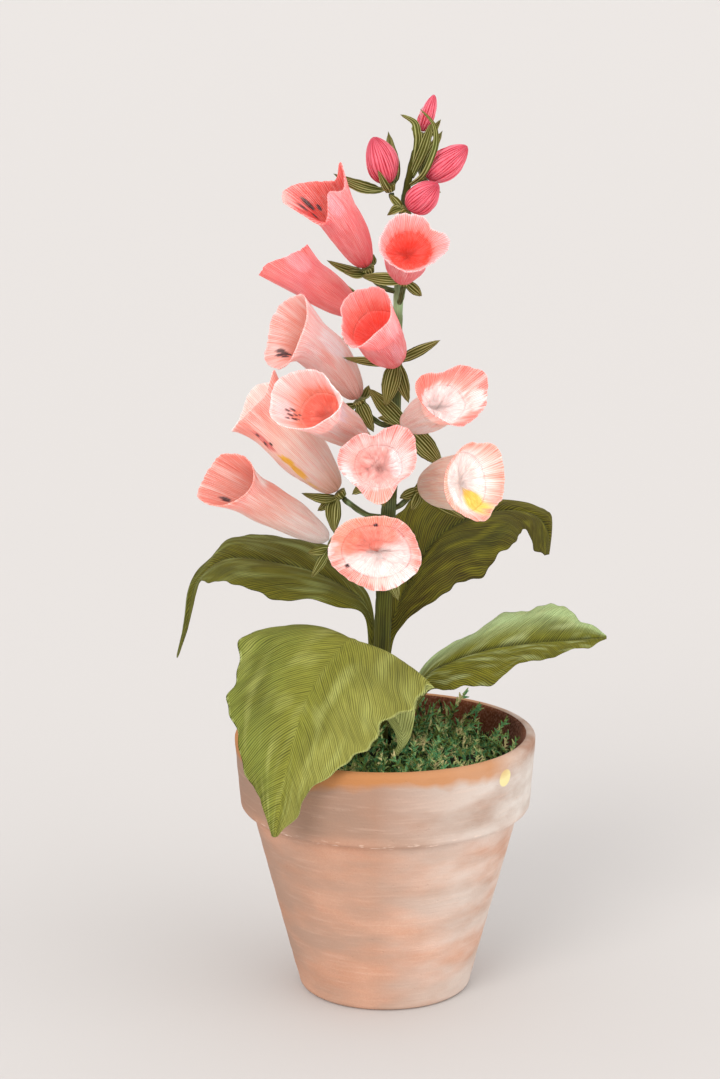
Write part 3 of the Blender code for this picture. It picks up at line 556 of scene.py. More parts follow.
def layered(tree, colour, layers):
    """A colour with layers laid over it, one after the other."""
    for layer in layers:
        shares = [add_node(tree, "ShaderNodeMapRange", {0: value, 1: low, 2: high}).outputs[0]
                  for value, low, high in layer.ranges]
        if layer.pattern:
            stops = [(place, grey(shown)) for place, shown in layer.shows]
            shares.append(add_node(tree, "ShaderNodeValToRGB", {"Fac": layer.pattern}, stops).outputs[0])
        factor = layer.strength
        for share in shares:
            factor = add_node(tree, "ShaderNodeMath", {0: share, 1: factor}, operation="MULTIPLY").outputs[0]
        colour = add_node(tree, "ShaderNodeMix", {0: factor, 6: colour, 7: rgba(layer.colour)}, data_type="RGBA",
                          blend_type=layer.blend).outputs[2]
    return colour


def cover(tree, shader, colour, height, depth, strength=1.0):
    """Give a shader its colour, and relief of a depth."""
    bump = add_node(tree, "ShaderNodeBump", {"Height": height, "Distance": depth, "Strength": strength})
    tree.links.new(colour, shader.inputs["Base Color"])
    tree.links.new(bump.outputs[0], shader.inputs["Normal"])


ONE_BAND = 0.314  # scale at which a wave texture has one band in one unit


def crepe(name, layer, look):
    """Crepe paper: fine lengthwise ridges that catch the light, with painted highlight on their tops and painted shade
    in their furrows, on paper dyed unevenly by hand.
    """
    material, tree, shader = new_material(name, 0.82, 0.25)
    paper = add_node(tree, "ShaderNodeAttribute", attribute_name=layer).outputs["Color"]
    grain = add_node(tree, "ShaderNodeUVMap", uv_map=GRAIN).outputs["UV"]
    place = add_node(tree, "ShaderNodeTexCoord").outputs["Object"]
    spread = add_node(tree, "ShaderNodeMapping", {"Vector": grain, "Scale": (1 / look.stroke, 1 / look.pitch, 1)})
    broad = add_node(tree, "ShaderNodeTexNoise", {"Vector": spread.outputs[0], "Scale": 0.7, "Detail": 2.0})
    fine = add_node(tree, "ShaderNodeTexWave", {
        "Vector": spread.outputs[0], "Scale": ONE_BAND, "Distortion": 6.0, "Detail": 3.0, "Detail Scale": 0.9,
    }, bands_direction="Y")
    height = add_node(tree, "ShaderNodeMix", {0: 0.45, 2: broad.outputs["Fac"], 3: fine.outputs["Fac"]}).outputs[0]
    wash = add_node(tree, "ShaderNodeTexNoise", {"Vector": place, "Scale": 1 / (9 * MM), "Detail": 3.0}).outputs["Fac"]
    colour = layered(tree, paper, (
        Layer(linear(look.wash_colour), look.wash, pattern=wash, shows=((0.4, 0), (0.65, 1))),
        # Painted shade: the furrows between the ridges darkened with the furrow colour
        Layer(linear(look.furrow), look.shade, pattern=height, shows=((0.25, 1), (0.45, 0)), blend="MULTIPLY"),
        # Painted highlight: the ridge tops lightened with the ridge colour
        Layer(linear(look.ridge), look.light, pattern=height, shows=((0.55, 0), (0.75, 1)), blend="SCREEN"),
    ))
    cover(tree, shader, colour, height, look.relief, 0.9)
    # Thin paper lets light through
    shader.inputs["Subsurface Weight"].default_value = look.glow
    shader.inputs["Subsurface Radius"].default_value = (1.0, 0.85, 0.8)
    shader.inputs["Subsurface Scale"].default_value = 2.5 * MM
    return material


# How a crepe paper looks: ridge spacing and length in mm, relief, then the shares and colours of the painted highlight
# on its ridges, of the painted shade in its furrows and of its uneven wash
Look = namedtuple("Look", "pitch stroke relief light ridge shade furrow wash wash_colour glow")
PETAL_LOOK = Look(0.6, 5, 0.36 * MM, 0.55, "8C8288", 0.55, "F09A92", 0.08, "FFF0EC", 0.8)
LEAF_LOOK = Look(0.62, 7, 0.34 * MM, 0.65, "4E4C10", 0.75, "848446", 0.25, "605E14", 0.0)
SEPAL_LOOK = Look(0.85, 14, 0.35 * MM, 0.7, "B0B27C", 0.6, "808850", 0.4, "6A6420", 0.0)
TAPE_LOOK = Look(0.8, 12, 0.25 * MM, 0.4, "5A5E28", 0.5, "808858", 0.25, "3E4A1C", 0.0)


class BellSettings(bpy.types.PropertyGroup):
    paper: bpy.props.FloatProperty(
        name="Paper", description="Thickness of the bells' paper", default=0.35 * MM, min=0.1 * MM, unit="LENGTH")
    ruffle: bpy.props.FloatProperty(
        name="Ruffle", description="Height of the ruffles at the rims", default=0.4 * MM, unit="LENGTH")
    dent: bpy.props.FloatProperty(
        name="Dent", description="Depth of the soft dents in the tubes", default=0.6 * MM, unit="LENGTH")
    columns: bpy.props.IntProperty(name="Columns", description="Steps round a bell", default=140, min=12)
    rows: bpy.props.IntProperty(name="Rows", description="Steps along a bell", default=64, min=8)


ROW_BIAS = 1.25  # rows lie closer together at a bell's base


def bell_axis(bell):
    """The bell's foot, the bend of its middle line, and its mouth."""
    foot = Vector(bell.base) * MM
    mouth = Vector(bell.mouth) * MM
    bend = mouth - aim(*bell.facing) * BELL_BEND * (mouth - foot).length
    return foot, bend, mouth


def bell_place(bell, number, sizes):
    """place(u, v) of a bell: a tube with a flared mouth, lobes, ruffles and soft dents."""
    axis = bell_axis(bell)
    lip_side = Vector((0, 0.25, -1))
    length = (axis[2] - axis[0]).length
    seed = 7.3 * number

    def place(u, v):
        share = v ** ROW_BIAS
        along = bent_aim(axis, share)
        down = (lip_side - along * lip_side.dot(along)).normalized()
        across = along.cross(down)
        angle = 2 * math.pi * u
        flare = max(0.0, (share - FLARE_START) / (1 - FLARE_START))
        size = smooth_read(BELL_SWELL, share) * (bell.tube + (1 - bell.tube) * flare ** 1.3)
        ruffle = 1 + 0.03 * flare * math.cos(5 * angle + bell.base[2])
        outward = across * math.sin(angle) * 0.5 * bell.width + down * math.cos(angle) * 0.5 * bell.height
        point = bent_line(axis, share) + outward * size * ruffle * MM
        out = outward.normalized()
        for middle, spread, reach, curl in bell.lobes:
            bump = bell_curve(turn_between(math.degrees(angle), middle), spread) * flare ** 2
            point += (along * reach + out * curl) * bump * MM
        wave = sum(height * math.sin(count * angle + shift * seed) for count, height, shift in RUFFLES)
        circle = on_circle(u)
        wave *= 0.4 + 1.6 * abs(noise.noise(circle * 1.7 + Vector((0, 0, seed))))
        point += (along * 0.5 + out * 0.7) * wave * 0.6 * sizes.ruffle * flare ** 2
        soft = noise.noise(circle * 1.6 + Vector((0, seed, share * length / (9 * MM))))
        pleat = noise.noise(circle * 9.0 + Vector((seed, 0, share * length / (12 * MM))))
        depth = sizes.dent * soft * (1 - 0.5 * flare) + 0.25 * sizes.dent * pleat
        return point + out * depth * min(1.0, 5 * share)

    return place


# Bells whose paper is folded together inside: where the fold meets the tube and how deep it goes, as shares of
# the bell's length, and how far its folds stand up in mm
LININGS = {
    2: (0.76, 0.60, 0.8), 4: (0.70, 0.50, 0.8), 6: (0.74, 0.56, 1.2), 8: (0.78, 0.64, 1.8), 9: (0.76, 0.60, 2.2),
    10: (0.82, 0.68, 1.6), 12: (0.88, 0.75, 2.4),
}


def lining_place(bell, number, sizes):
    """place(u, v) of the paper folded together inside a bell, from its middle to the tube's wall."""
    wall, depth, folds = LININGS[number]
    tube = bell_place(bell, number, sizes)
    axis = bell_axis(bell)

    def place(u, v):
        share = depth + (wall - depth) * v ** 2
        outward = tube(u, wall ** (1 / ROW_BIAS)) - bent_line(axis, wall)
        reach = v * (1 - 0.5 * sizes.paper / outward.length)
        circle = on_circle(u)
        crumple = noise.noise(circle * 2.2 * v + Vector((number, 0, 0)))
        crumple += 1.5 * abs(noise.noise(circle * 2.6 * v + Vector((0, number, 0))))
        fold = bent_aim(axis, share) * crumple * folds * MM * smoothstep(1.0, 0.7, v)
        return bent_line(axis, share) + outward * reach + fold

    return place


# Pale and deep streaks that the brush left along each colour of bell
STREAKS = {
    "coral": ("FF9490", "E8464A"), "rose": ("FFF0EE", "F07E72"), "peach": ("FFEEE8", "F28878"),
    "blush": ("FFF8F6", "F28076"),
}
INK = linear("22030F")  # the spots


def bell_paint(dye, face, number, length, girth, streaks):
    """paint(u, v) of one face of a bell: its dye along the tube, with painted shade at a dark root, streaks, patches
    (two of them painted highlights) and spots.
    """
    base = dye_ramp(dye.outside if face == "outside" else dye.inside)
    pale, deep = (linear(code) for code in streaks)
    patches = [(patch, linear(patch.colour)) for patch in dye.patches if patch.face == face]
    spots = [spot for spot in dye.spots if spot.face == face]

    def paint(u, v):
        share = v ** ROW_BIAS
        angle = 360 * u
        circle = on_circle(u)
        brush = noise.noise(circle * 8 + Vector((number, 0, share * 2))) * 0.07
        brush += noise.noise(circle * 22 + Vector((0, number, share * 3))) * 0.05
        colour = base(min(max(share + brush, 0.0), 1.0))
        streak = noise.noise(circle * 21 + Vector((number, 5, share * 3)))
        streak += 0.8 * noise.noise(circle * 5 + Vector((3, number, share * 4)))
        shown = smoothstep(0.0, 0.3, share) if face == "outside" else smoothstep(0.7, 0.95, share)
        colour = mix(colour, pale if streak > 0 else deep, min(0.35, 0.5 * abs(streak)) * shown)
        # Patches of dye; bell 3's outside patch and bell 5's first patch are painted highlights
        for patch, dyed in patches:
            apart = turn_between(angle, patch.angle)
            amount = bell_curve(apart, patch.wide) * bell_curve(share + brush - patch.share, patch.long)
            colour = mix(colour, dyed, patch.strength * smoothstep(0.3, 0.64, amount))
        for spot in spots:
            across = turn_between(angle, spot.angle) / 360 * girth / spot.width
            along = (share - spot.share) * length / spot.length
            colour = mix(colour, INK, smoothstep(0.62, 0.46, math.hypot(across, along)))
        return colour

    return paint


def as_far_as(wall, read):
    """What read(u, v) says of a sheet, up to a share of its rows."""
    return lambda u, v, *face: read(u, wall * v, *face)


class FOXGLOVE_OT_bells(bpy.types.Operator):
    """Make the twelve crepe paper bells"""
    bl_idname = "foxglove.bells"
    bl_label = "Bells"

    def execute(self, context):
        sizes = context.scene.foxglove_bells
        outside = crepe("petal crepe, dyed, outside", "outside", PETAL_LOOK)
        inside = crepe("petal crepe, dyed, inside", "inside", PETAL_LOOK)
        # Several layers together let less light through
        layers = crepe("petal crepe, folded together", "inside", PETAL_LOOK._replace(glow=0.15))
        for number, (bell, dye) in enumerate(zip(BELLS, DYES), 1):
            foot, _, mouth = bell_axis(bell)
            length = (mouth - foot).length / MM
            girth = math.pi * 0.5 * (bell.width + bell.height)
            grain = tube_grain(length, girth, 60 * number, ROW_BIAS)
            paints = {face: bell_paint(dye, face, number, length, girth, STREAKS[bell.colour])
                      for face in ("outside", "inside")}
            bm = new_mesh("outside", "inside")
            add_sheet(bm, sizes.columns, sizes.rows, bell_place(bell, number, sizes), grain, paints)
            if number in LININGS:
                wall = LININGS[number][0] ** (1 / ROW_BIAS)
                folded = as_far_as(wall, paints["inside"])
                add_sheet(bm, sizes.columns, LINING_ROWS, lining_place(bell, number, sizes), as_far_as(wall, grain),
                          {"outside": folded, "inside": folded}, 2)
            piece = new_piece(f"paper_bell_{number:02d}", bm, (outside, inside, layers, layers),
                              f"bell_{number:02d}")
            paper = piece.modifiers.new("paper", "SOLIDIFY")
            paper.thickness = sizes.paper
            paper.offset = -1.0
            paper.material_offset = 1
            paper.material_offset_rim = 1
        return {"FINISHED"}


class BudSettings(bpy.types.PropertyGroup):
    wrap: bpy.props.FloatProperty(
        name="Wrap", description="Step of the paper where it is wrapped", default=0.45 * MM, unit="LENGTH")
    crease: bpy.props.FloatProperty(
        name="Crease", description="Depth of the lengthwise creases", default=0.5 * MM, unit="LENGTH")


def bud_axis(bud):
    foot = Vector(bud.base) * MM
    tip = Vector(bud.tip) * MM
    return foot, 0.5 * (foot + tip), tip


def bud_place(bud, number, sizes):
    """place(u, v) of a closed bud: wrapped paper with creases that meet at the tip."""
    foot, _, tip = bud_axis(bud)
    along = (tip - foot).normalized()
    across = along.orthogonal().normalized()
    forward = along.cross(across)

    def place(u, v):
        angle = 2 * math.pi * u
        swell = math.sin(math.pi * v ** 0.82) ** 0.58 if 0 < v < 1 else 0.0
        fold = 1 + 0.07 * math.cos(3 * angle + 3 * v)
        outward = across * math.cos(angle) + forward * math.sin(angle)
        turned = (2 * u + 0.35 * v + 0.17 * number) % 1.0
        wrap = sizes.wrap * (turned - 0.5) * smoothstep(0.0, 0.06, turned) * smoothstep(0.0, 0.04, 1 - turned)
        circle = on_circle(u)
        crease = sizes.crease * noise.noise(circle * 5 + Vector((number, 0, 2.2 * v)))
        crease += 0.8 * sizes.crease * noise.noise(circle * 13 + Vector((0, number, 1.4 * v)))
        radius = 0.5 * bud.width * MM * fold + wrap + crease
        return foot + (tip - foot) * v + outward * radius * swell

    return place


class FOXGLOVE_OT_buds(bpy.types.Operator):
    """Make the four closed buds at the top"""
    bl_idname = "foxglove.buds"
    bl_label = "Buds"

    def execute(self, context):
        sizes = context.scene.foxglove_buds
        # Bud crepe: strong painted shade in the furrows and painted highlight on the ridges
        paper = crepe("bud crepe, dyed and wrapped", "outside", PETAL_LOOK._replace(
            pitch=1.0, light=0.5, ridge="706468", shade=1.0, furrow="C46878", wash=0.25, wash_colour="EE7084"))
        ramp = dye_ramp(((0, "A83246"), (0.3, "CC5464"), (0.7, "D46070"), (1, "BE4054")))
        for number, bud in enumerate(BUDS, 1):
            foot, _, tip = bud_axis(bud)
            grain = tube_grain((tip - foot).length / MM, math.pi * bud.width, 40 * number)
            bm = new_mesh("outside")
            add_sheet(bm, *BUD_STEPS, bud_place(bud, number, sizes), grain, {"outside": lambda u, v: ramp(v)})
            new_piece(f"paper_bud_{number}", bm, (paper,), f"bud_{number}")
        return {"FINISHED"}


class CalyxSettings(bpy.types.PropertyGroup):
    paper: bpy.props.FloatProperty(
        name="Paper", description="Thickness of the sepals' paper", default=0.4 * MM, unit="LENGTH")
    ridge: bpy.props.FloatProperty(
        name="Ridge", description="Height of the lengthwise ridges", default=0.18 * MM, unit="LENGTH")
    cupping: bpy.props.FloatProperty(
        name="Cupping", description="How far the edges stand up, over the width", default=0.10)
    pitch: bpy.props.FloatProperty(
        name="Pitch", description="Spacing of the lengthwise ridges", default=1.15 * MM, unit="LENGTH")


def round_sheet(u):
    """Across a flattened tube: from -1 to 1 on the upper face, back on the lower, and which face."""
    if u <= 0.5:
        return 4 * u - 1, 1
    return 3 - 4 * u, -1


def strip_place(middle, flat, width, sizes, seed):
    """place(u, v) of a pointed paper strip along the line middle(v), closed all round."""
    def place(u, v):
        across, face = round_sheet(u)
        step = middle(min(v + 0.02, 1.0)) - middle(max(v - 0.02, 0.0))
        side = flat(v)
        normal = side.cross(step).normalized()
        half = 0.5 * width * smooth_read(SEPAL_OUTLINE, v) * (1 - 0.9 * smoothstep(0.93, 1.0, v))
        half *= 1 + 0.05 * noise.noise(Vector((v * 14, across, seed)))
        edge = min(1.0, 8 * (1 - abs(across))) * min(1.0, v * 30, (1 - v) * 30)
        paper = 0.5 * sizes.paper * edge * face
        cup = sizes.cupping * width * across ** 2 * math.sin(math.pi * min(1.0, v * 1.2 + 0.05))
        ridges = sizes.ridge * math.cos(2 * math.pi * across * half / sizes.pitch + seed)
        twist = 0.06 * width * across * math.sin(2.2 * v + seed)
        return middle(v) + side * across * half + normal * (paper + cup + twist + ridges * min(1.0, v * 6))

    return place


def strip_grain(width, length, seed):
    def grain(u, v, side):
        across, _ = round_sheet(u)
        return v * length / MM + seed, across * 0.5 * width / MM + (200 if side > 0.5 else 0)

    return grain


SEPAL_DYE = dye_ramp(((0, "4C5418"), (0.35, "4A5016"), (0.75, "5A5A1E"), (1, "6A6228")))


def sepal_flats(side, outward, direction):
    """Which way a sepal is wide at its cup, and at its tip, where it shows its broad face to the front."""
    flat = side.cross(outward)
    shown = direction.cross(Vector((0, 1, 0))).normalized()
    return flat, shown if shown.dot(flat) > 0 else -shown


def sepal_line(centre, outward, direction, length):
    """Middle line and flat side of a sepal that leaves its cup sideways."""
    side = (direction - outward * direction.dot(outward)).normalized()
    start = centre + side * SEPAL_START
    bend = centre + side * max(SEPAL_BEND * length, SEPAL_BEND_LEAST)
    tip = centre + direction * length
    flat, shown = sepal_flats(side, outward, direction)
    return (lambda v: bent_line((start, bend, tip), v),
            lambda v: (flat * (1 - v) + shown * 1.6 * v).normalized())


def cup_place(centre, outward):
    """place(u, v) of a small cup under a flower, closed at both ends."""
    turn = outward.to_track_quat("Z", "Y").to_matrix()

    def place(u, v):
        angle = 2 * math.pi * u
        radius = CUP_FOOT_RADIUS + (CUP_RIM_RADIUS - CUP_FOOT_RADIUS) * v
        radius *= smoothstep(0.0, 0.12, v) * smoothstep(0.0, 0.12, 1 - v)
        height = (v - 0.5) * CUP_LENGTH
        return centre + turn @ Vector((radius * math.cos(angle), radius * math.sin(angle), height))

    return place


def flower_axes():
    """Number, foot, outward direction and measures of every bell and bud."""
    axes = [bell_axis(bell) for bell in BELLS] + [bud_axis(bud) for bud in BUDS]
    for number, ((foot, bend, _), flower) in enumerate(zip(axes, BELLS + BUDS), 1):
        yield number, foot, (bend - foot).normalized(), flower


class FOXGLOVE_OT_calyxes(bpy.types.Operator):
    """Make the cup and pointed sepals under every bell and bud"""
    bl_idname = "foxglove.calyxes"
    bl_label = "Calyxes"

    def execute(self, context):
        sizes = context.scene.foxglove_calyxes
        paper = crepe("sepal crepe, stretched", "outside", SEPAL_LOOK)
        for number, foot, outward, flower in flower_axes():
            centre = foot - outward * (GAP + 0.5 * CUP_LENGTH)
            bm = new_mesh("outside")
            paints = {"outside": lambda u, v: SEPAL_DYE(v)}
            add_sheet(bm, *CUP_STEPS, cup_place(centre, outward), tube_grain(3, 12), paints)
            for place, (angle, towards, length, width) in enumerate(flower.sepals):
                middle, flat = sepal_line(centre, outward, picture_aim(angle, towards), length * MM)
                seed = 3.1 * number + 1.7 * place
                strip = strip_place(middle, flat, width * MM, sizes, seed)
                add_sheet(bm, *SEPAL_STEPS, strip, strip_grain(width * MM, length * MM, 40 * seed), paints)
            new_piece(f"paper_calyx_{number:02d}", bm, (paper,), f"calyx_{number:02d}")
        return {"FINISHED"}


class StemSettings(bpy.types.PropertyGroup):
    tape_pitch: bpy.props.FloatProperty(
        name="Tape pitch", description="Rise of the tape in one turn", default=5.5 * MM, unit="LENGTH")
    tape_step: bpy.props.FloatProperty(
        name="Tape step", description="Height of the tape's edge", default=0.14 * MM, unit="LENGTH")


def wound_place(line, radius, sizes, reference):
    """place(u, v) of a wire wound with tape along line(v), closed at both ends."""
    def place(u, v):
        angle = 2 * math.pi * u
        middle = line(v)
        along = (line(min(v + 0.01, 1.0)) - line(max(v - 0.01, 0.0))).normalized()
        side = along.cross(reference).normalized()
        front = along.cross(side)
        turns = (middle.z / sizes.tape_pitch + u) % 1.0
        step = sizes.tape_step * (turns - 0.5) * smoothstep(0.0, 0.12, turns)
        crumple = 0.12 * MM * noise.noise(middle / (2.5 * MM) + on_circle(u))
        size = (radius(v) + step + crumple) * (1.0 if 0 < v < 1 else 0.0)
        return middle + (side * math.cos(angle) + front * math.sin(angle)) * size

    return place


def stem_height(v):
    """Height in mm at a share of the stem."""
    return STEM_FOOT + (STEM_TOP - STEM_FOOT) * v


def stem_line(v):
    """Centre of the stem at a share of its height."""
    height = stem_height(v)
    return Vector((smooth_read(STEM_LEANS, height), 0, height)) * MM


def stem_radius(v):
    return read_table(STEM_RADII, stem_height(v)) * MM


def stem_at(height):
    """Where a stalk leaves the stem at a height in mm."""
    return Vector((read_table(STEM_LEANS, height), 0, height)) * MM


# Heights in mm where pale tape shows on the stem, how far it reaches and how strongly
PALE_TAPE = ((250, 7, 0.8), (214, 4, 0.15), (178, 4, 0.15), (238, 4, 0.4), (278, 6, 0.25))
TAPE_GREEN, TAPE_DARK, TAPE_PALE = linear("424004"), linear("2C2C04"), linear("9DBA8E")


def stem_paint(u, v):
    """Colour of the tape on the stem: dark streaks, and pale where it is stretched."""
    point = stem_line(v) / MM
    streak = noise.noise(Vector((6 * u, point.z / 9, 0)))
    colour = mix(TAPE_GREEN, TAPE_DARK, smoothstep(-0.2, 0.5, streak))
    for height, reach, strength in PALE_TAPE:
        ragged = point.z + 3 * noise.noise(Vector((5 * u, point.z / 3, 4)))
        colour = mix(colour, TAPE_PALE, strength * bell_curve(ragged - height, reach))
    return colour


def stalk_paint(u, v):
    streak = noise.noise(Vector((4 * u, 7 * v, 9)))
    return mix(mix(TAPE_DARK, TAPE_GREEN, 0.4), TAPE_PALE, 0.08 + 0.5 * max(0.0, streak))


class FOXGLOVE_OT_stem(bpy.types.Operator):
    """Make the taped wire stem with its stalks and top bracts"""
    bl_idname = "foxglove.stem"
    bl_label = "Stem"

    def execute(self, context):
        sizes = context.scene.foxglove_stem
        tape = crepe("floral tape, waxed paper wound on wire", "outside", TAPE_LOOK)
        bm = new_mesh("outside")
        add_sheet(bm, *STEM_STEPS, wound_place(stem_line, stem_radius, sizes, Vector((0, 1, 0))),
                  tube_grain(STEM_TOP - STEM_FOOT, STEM_GIRTH), {"outside": stem_paint})
        for number, foot, outward, flower in flower_axes():
            start = stem_at(min(flower.base[2] - flower.stalk, STEM_TOP - 1))
            end = foot - outward * (CUP_LENGTH + 2 * GAP)
            straight = end - outward * STALK_STRAIGHT
            middle = 0.5 * (start + straight) - Vector((0, 0, STALK_SAG)) * (straight - start).length
            points = (start, middle, straight, end)
            reference = (end - start).cross(Vector((0, 0, 1))).normalized()
            stalk = wound_place(lambda v, p=points: blend(p, v), lambda v: STALK_RADIUS, sizes, reference)
            add_sheet(bm, *STALK_STEPS, stalk, tube_grain(STALK_LENGTH, STALK_GIRTH, 20 * number),
                      {"outside": stalk_paint})
        sepal_sizes = context.scene.foxglove_calyxes
        for number, (width, points) in enumerate(BRACTS):
            line = [Vector(point) * MM for point in points]

            def across(v, line=line):
                step = blend(line, min(v + 0.1, 1.0)) - blend(line, max(v - 0.1, 0.0))
                return step.cross(Vector((0, -1, 0))).normalized()

            length = sum((b - a).length for a, b in zip(line, line[1:]))
            strip = strip_place(lambda v, line=line: blend(line, v), across, width * MM, sepal_sizes, number)
            add_sheet(bm, *BRACT_STEPS, strip, strip_grain(width * MM, length, 30 * number),
                      {"outside": lambda u, v: SEPAL_DYE(v)}, 1)
        bract = crepe("bract crepe, stretched", "outside", SEPAL_LOOK)
        new_piece("taped_stem", bm, (tape, bract), "stem")
        return {"FINISHED"}


class LeafSettings(bpy.types.PropertyGroup):
    paper: bpy.props.FloatProperty(
        name="Paper", description="Thickness of the leaves' paper", default=0.4 * MM, unit="LENGTH")
    rib: bpy.props.FloatProperty(
        name="Rib", description="Radius of the wire under the midrib", default=1.1 * MM, unit="LENGTH")
    ridge: bpy.props.FloatProperty(
        name="Ridge", description="Height of the crepe's ridges", default=0.08 * MM, unit="LENGTH")
    columns: bpy.props.IntProperty(name="Columns", description="Steps across one face", default=64, min=8)
    rows: bpy.props.IntProperty(name="Rows", description="Steps along a leaf", default=150, min=10)


# Slant of the grain from the midrib in degrees, depth of the crease along it in mm, how strong the line of painted
# shade in that crease is, and colours: by the midrib, at the left edge, at the right edge (painted light on one half
# and painted shade on the other), underneath and in the lighter strokes of painted sheen
LeafDye = namedtuple("LeafDye", "slant crease line middle left right under shine")
LEAF_DYES = {
    # leaf_front's pale underneath colour is painted light on the shaded underside of its foot
    "leaf_front": LeafDye(48, -0.7, 0.0, "76782C", "6E7630", "84843E", "D4DE8E", "989C56"),
    "leaf_left": LeafDye(28, 0.6, 0.7, "4E4A04", "56540A", "504E0A", "606228", "808A50"),
    # leaf_right's pale left half and dark right half are painted light and painted shade
    "leaf_right": LeafDye(35, 0.9, 0.95, "6A6C1C", "A2B882", "5E5C12", "62682C", "A2AE7A"),
    "leaf_back": LeafDye(25, 0.9, 0.7, "423C00", "4C4402", "403800", "5E5E28", "6A660E"),
}
BLOTCH = linear("3E4010")
# Painted shade: the dark line in the midrib's crease
CREASE_SHADE = linear("30340C")


def leaf_surface(rows):
    """middle(across, v) of a leaf's sheet, and how much of it is blade at v."""
    lines = [[Vector(row[side]) * MM for row in rows] for side in range(3)]
    stalk_end = STALK_ROWS / (len(rows) - 1)

    def blade_at(v):
        return min(1.0, max(0.0, (v - stalk_end) / 0.12)) * min(1.0, (1 - v) / 0.1)

    def middle(across, v):
        left, rib, right = (blend(line, v) for line in lines)
        edge = left if across < 0 else right
        share = abs(across)
        blade = blade_at(v)
        width = (edge - rib).length
        arch = Vector((0, 0, LEAF_ARCH * width)) * 4 * share * (1 - share) * blade
        cuts = math.sin(v * 46 + 4 * across) + 0.45 * math.sin(v * 113 + 9 * across)
        cut_edge = 1 + EDGE_CUT * blade * cuts * share ** 3
        wave = Vector((0, 0, EDGE_WAVE)) * blade * share ** 2 * math.sin(v * 31 + 2.4 * across)
        return rib + (edge - rib) * share * cut_edge + arch + wave

    return middle, blade_at, stalk_end


def leaf_place(rows, dye, sizes, seed):
    """place(u, v) of a leaf on its stalk: thin ridged paper, creased over a wire."""
    middle, blade_at, stalk_end = leaf_surface(rows)
    step = 0.004

    def normal_at(across, v):
        side = middle(across + step, v) - middle(across - step, v)
        along = middle(across, min(v + step, 1.0)) - middle(across, max(v - step, 0.0))
        return side.cross(along).normalized()

    upper = 1 if normal_at(0.3, 0.55).z > 0 else -1

    def place(u, v):
        across, face = round_sheet(u)
        stalk = 1 - smoothstep(0.75 * stalk_end, 1.15 * stalk_end, v)
        across += (math.sin(0.5 * math.pi * across) - across) * stalk
        point = middle(across, v)
        normal = normal_at(min(max(across, -0.98), 0.98), v) * upper
        face = face * upper
        half = (middle(1.0 if across > 0 else -1.0, v) - middle(0.0, v)).length
        apart = abs(across) * half
        round_side = sizes.rib * math.sqrt(max(0.0, 1 - across ** 2))
        flat_side = 0.5 * sizes.paper * min(1.0, 10 * (1 - abs(across)))
        paper = (flat_side + (round_side - flat_side) * stalk) * min(1.0, v * 60, (1 - v) * 60)
        blade = blade_at(v)
        wire = sizes.rib * (1 - 0.75 * v)
        bulge = math.sqrt(max(0.0, wire ** 2 - apart ** 2)) * blade if face < 0 else 0.0
        crease = -dye.crease * MM * math.exp(-(apart / (1.1 * MM)) ** 2) * blade
        slant = math.radians(dye.slant)
        reach = v * 120 * MM
        over = reach * math.sin(slant) - apart * math.cos(slant)
        stroke = reach * math.cos(slant) + apart * math.sin(slant)
        fold = noise.noise(Vector((over / (1.3 * MM), stroke / (14 * MM), seed + (9 if across > 0 else 0))))
        vein = noise.noise(Vector((over / (6 * MM), stroke / (30 * MM), seed + (4 if across > 0 else 0))))
        relief = (sizes.ridge * fold + 0.3 * MM * vein) * blade * min(1.0, apart / (1.5 * MM))
        return point + normal * (paper * face + relief + crease) - normal * bulge

    return place


def leaf_grain(rows, dye, seed):
    """Grain of a leaf in mm, slanting away from the midrib on both sides."""
    middle, _, _ = leaf_surface(rows)
    slant = math.radians(dye.slant)
    halves = [[(middle(side, row / 20) - middle(0.0, row / 20)).length / MM for row in range(21)]
              for side in (-1.0, 1.0)]

    def grain(u, v, side):
        across, _ = round_sheet(u)
        middle_across, face = round_sheet(side)
        index = min(int(v * 20), 19)
        row = halves[0 if middle_across < 0 else 1]
        half = row[index] + (row[index + 1] - row[index]) * (v * 20 - index)
        apart = abs(across) * half
        reach = 120 * v
        shift = seed * 50 + (400 if middle_across > 0 else 0) + (900 if face < 0 else 0)
        return (reach * math.cos(slant) + apart * math.sin(slant) + shift,
                reach * math.sin(slant) - apart * math.cos(slant) + shift)

    return grain


def leaf_paint(rows, dye, seed):
    """paint(u, v) of a leaf: darker blotches, painted sheen in lighter strokes along the grain, a painted shade line
    in the rib's crease, painted light and shade on its two halves, a pale back.
    """
    middle, _, _ = leaf_surface(rows)
    colours = {key: linear(getattr(dye, key)) for key in ("middle", "left", "right", "under", "shine")}
    upper = 1 if (middle(0.4, 0.55) - middle(0.2, 0.55)).cross(middle(0.3, 0.57) - middle(0.3, 0.53)).z > 0 else -1

    def paint(u, v):
        across, face = round_sheet(u)
        # The two edge colours paint light on one half and shade on the other
        edge = colours["left"] if across < 0 else colours["right"]
        colour = mix(colours["middle"], edge, smoothstep(0.05, 0.7, abs(across)))
        blotch = noise.noise(Vector((across * 2.2, v * 5, seed)))
        colour = mix(colour, BLOTCH, 0.9 * max(0.0, blotch))
        # Painted sheen: lighter strokes along the grain
        stroke = noise.noise(Vector((across * 5, v * 16 - abs(across) * 5, seed + 20)))
        colour = mix(colour, colours["shine"], 1.1 * max(0.0, stroke))
        # Painted shade: a dark line in the midrib's crease
        colour = mix(colour, CREASE_SHADE, dye.line * bell_curve(across, 0.055) * smoothstep(0.15, 0.3, v))
        # The paler back; leaf_front's is painted light on the shaded underside of its foot
        if face * upper < 0:
            colour = mix(colour, colours["under"], 0.85)
        return colour

    return paint


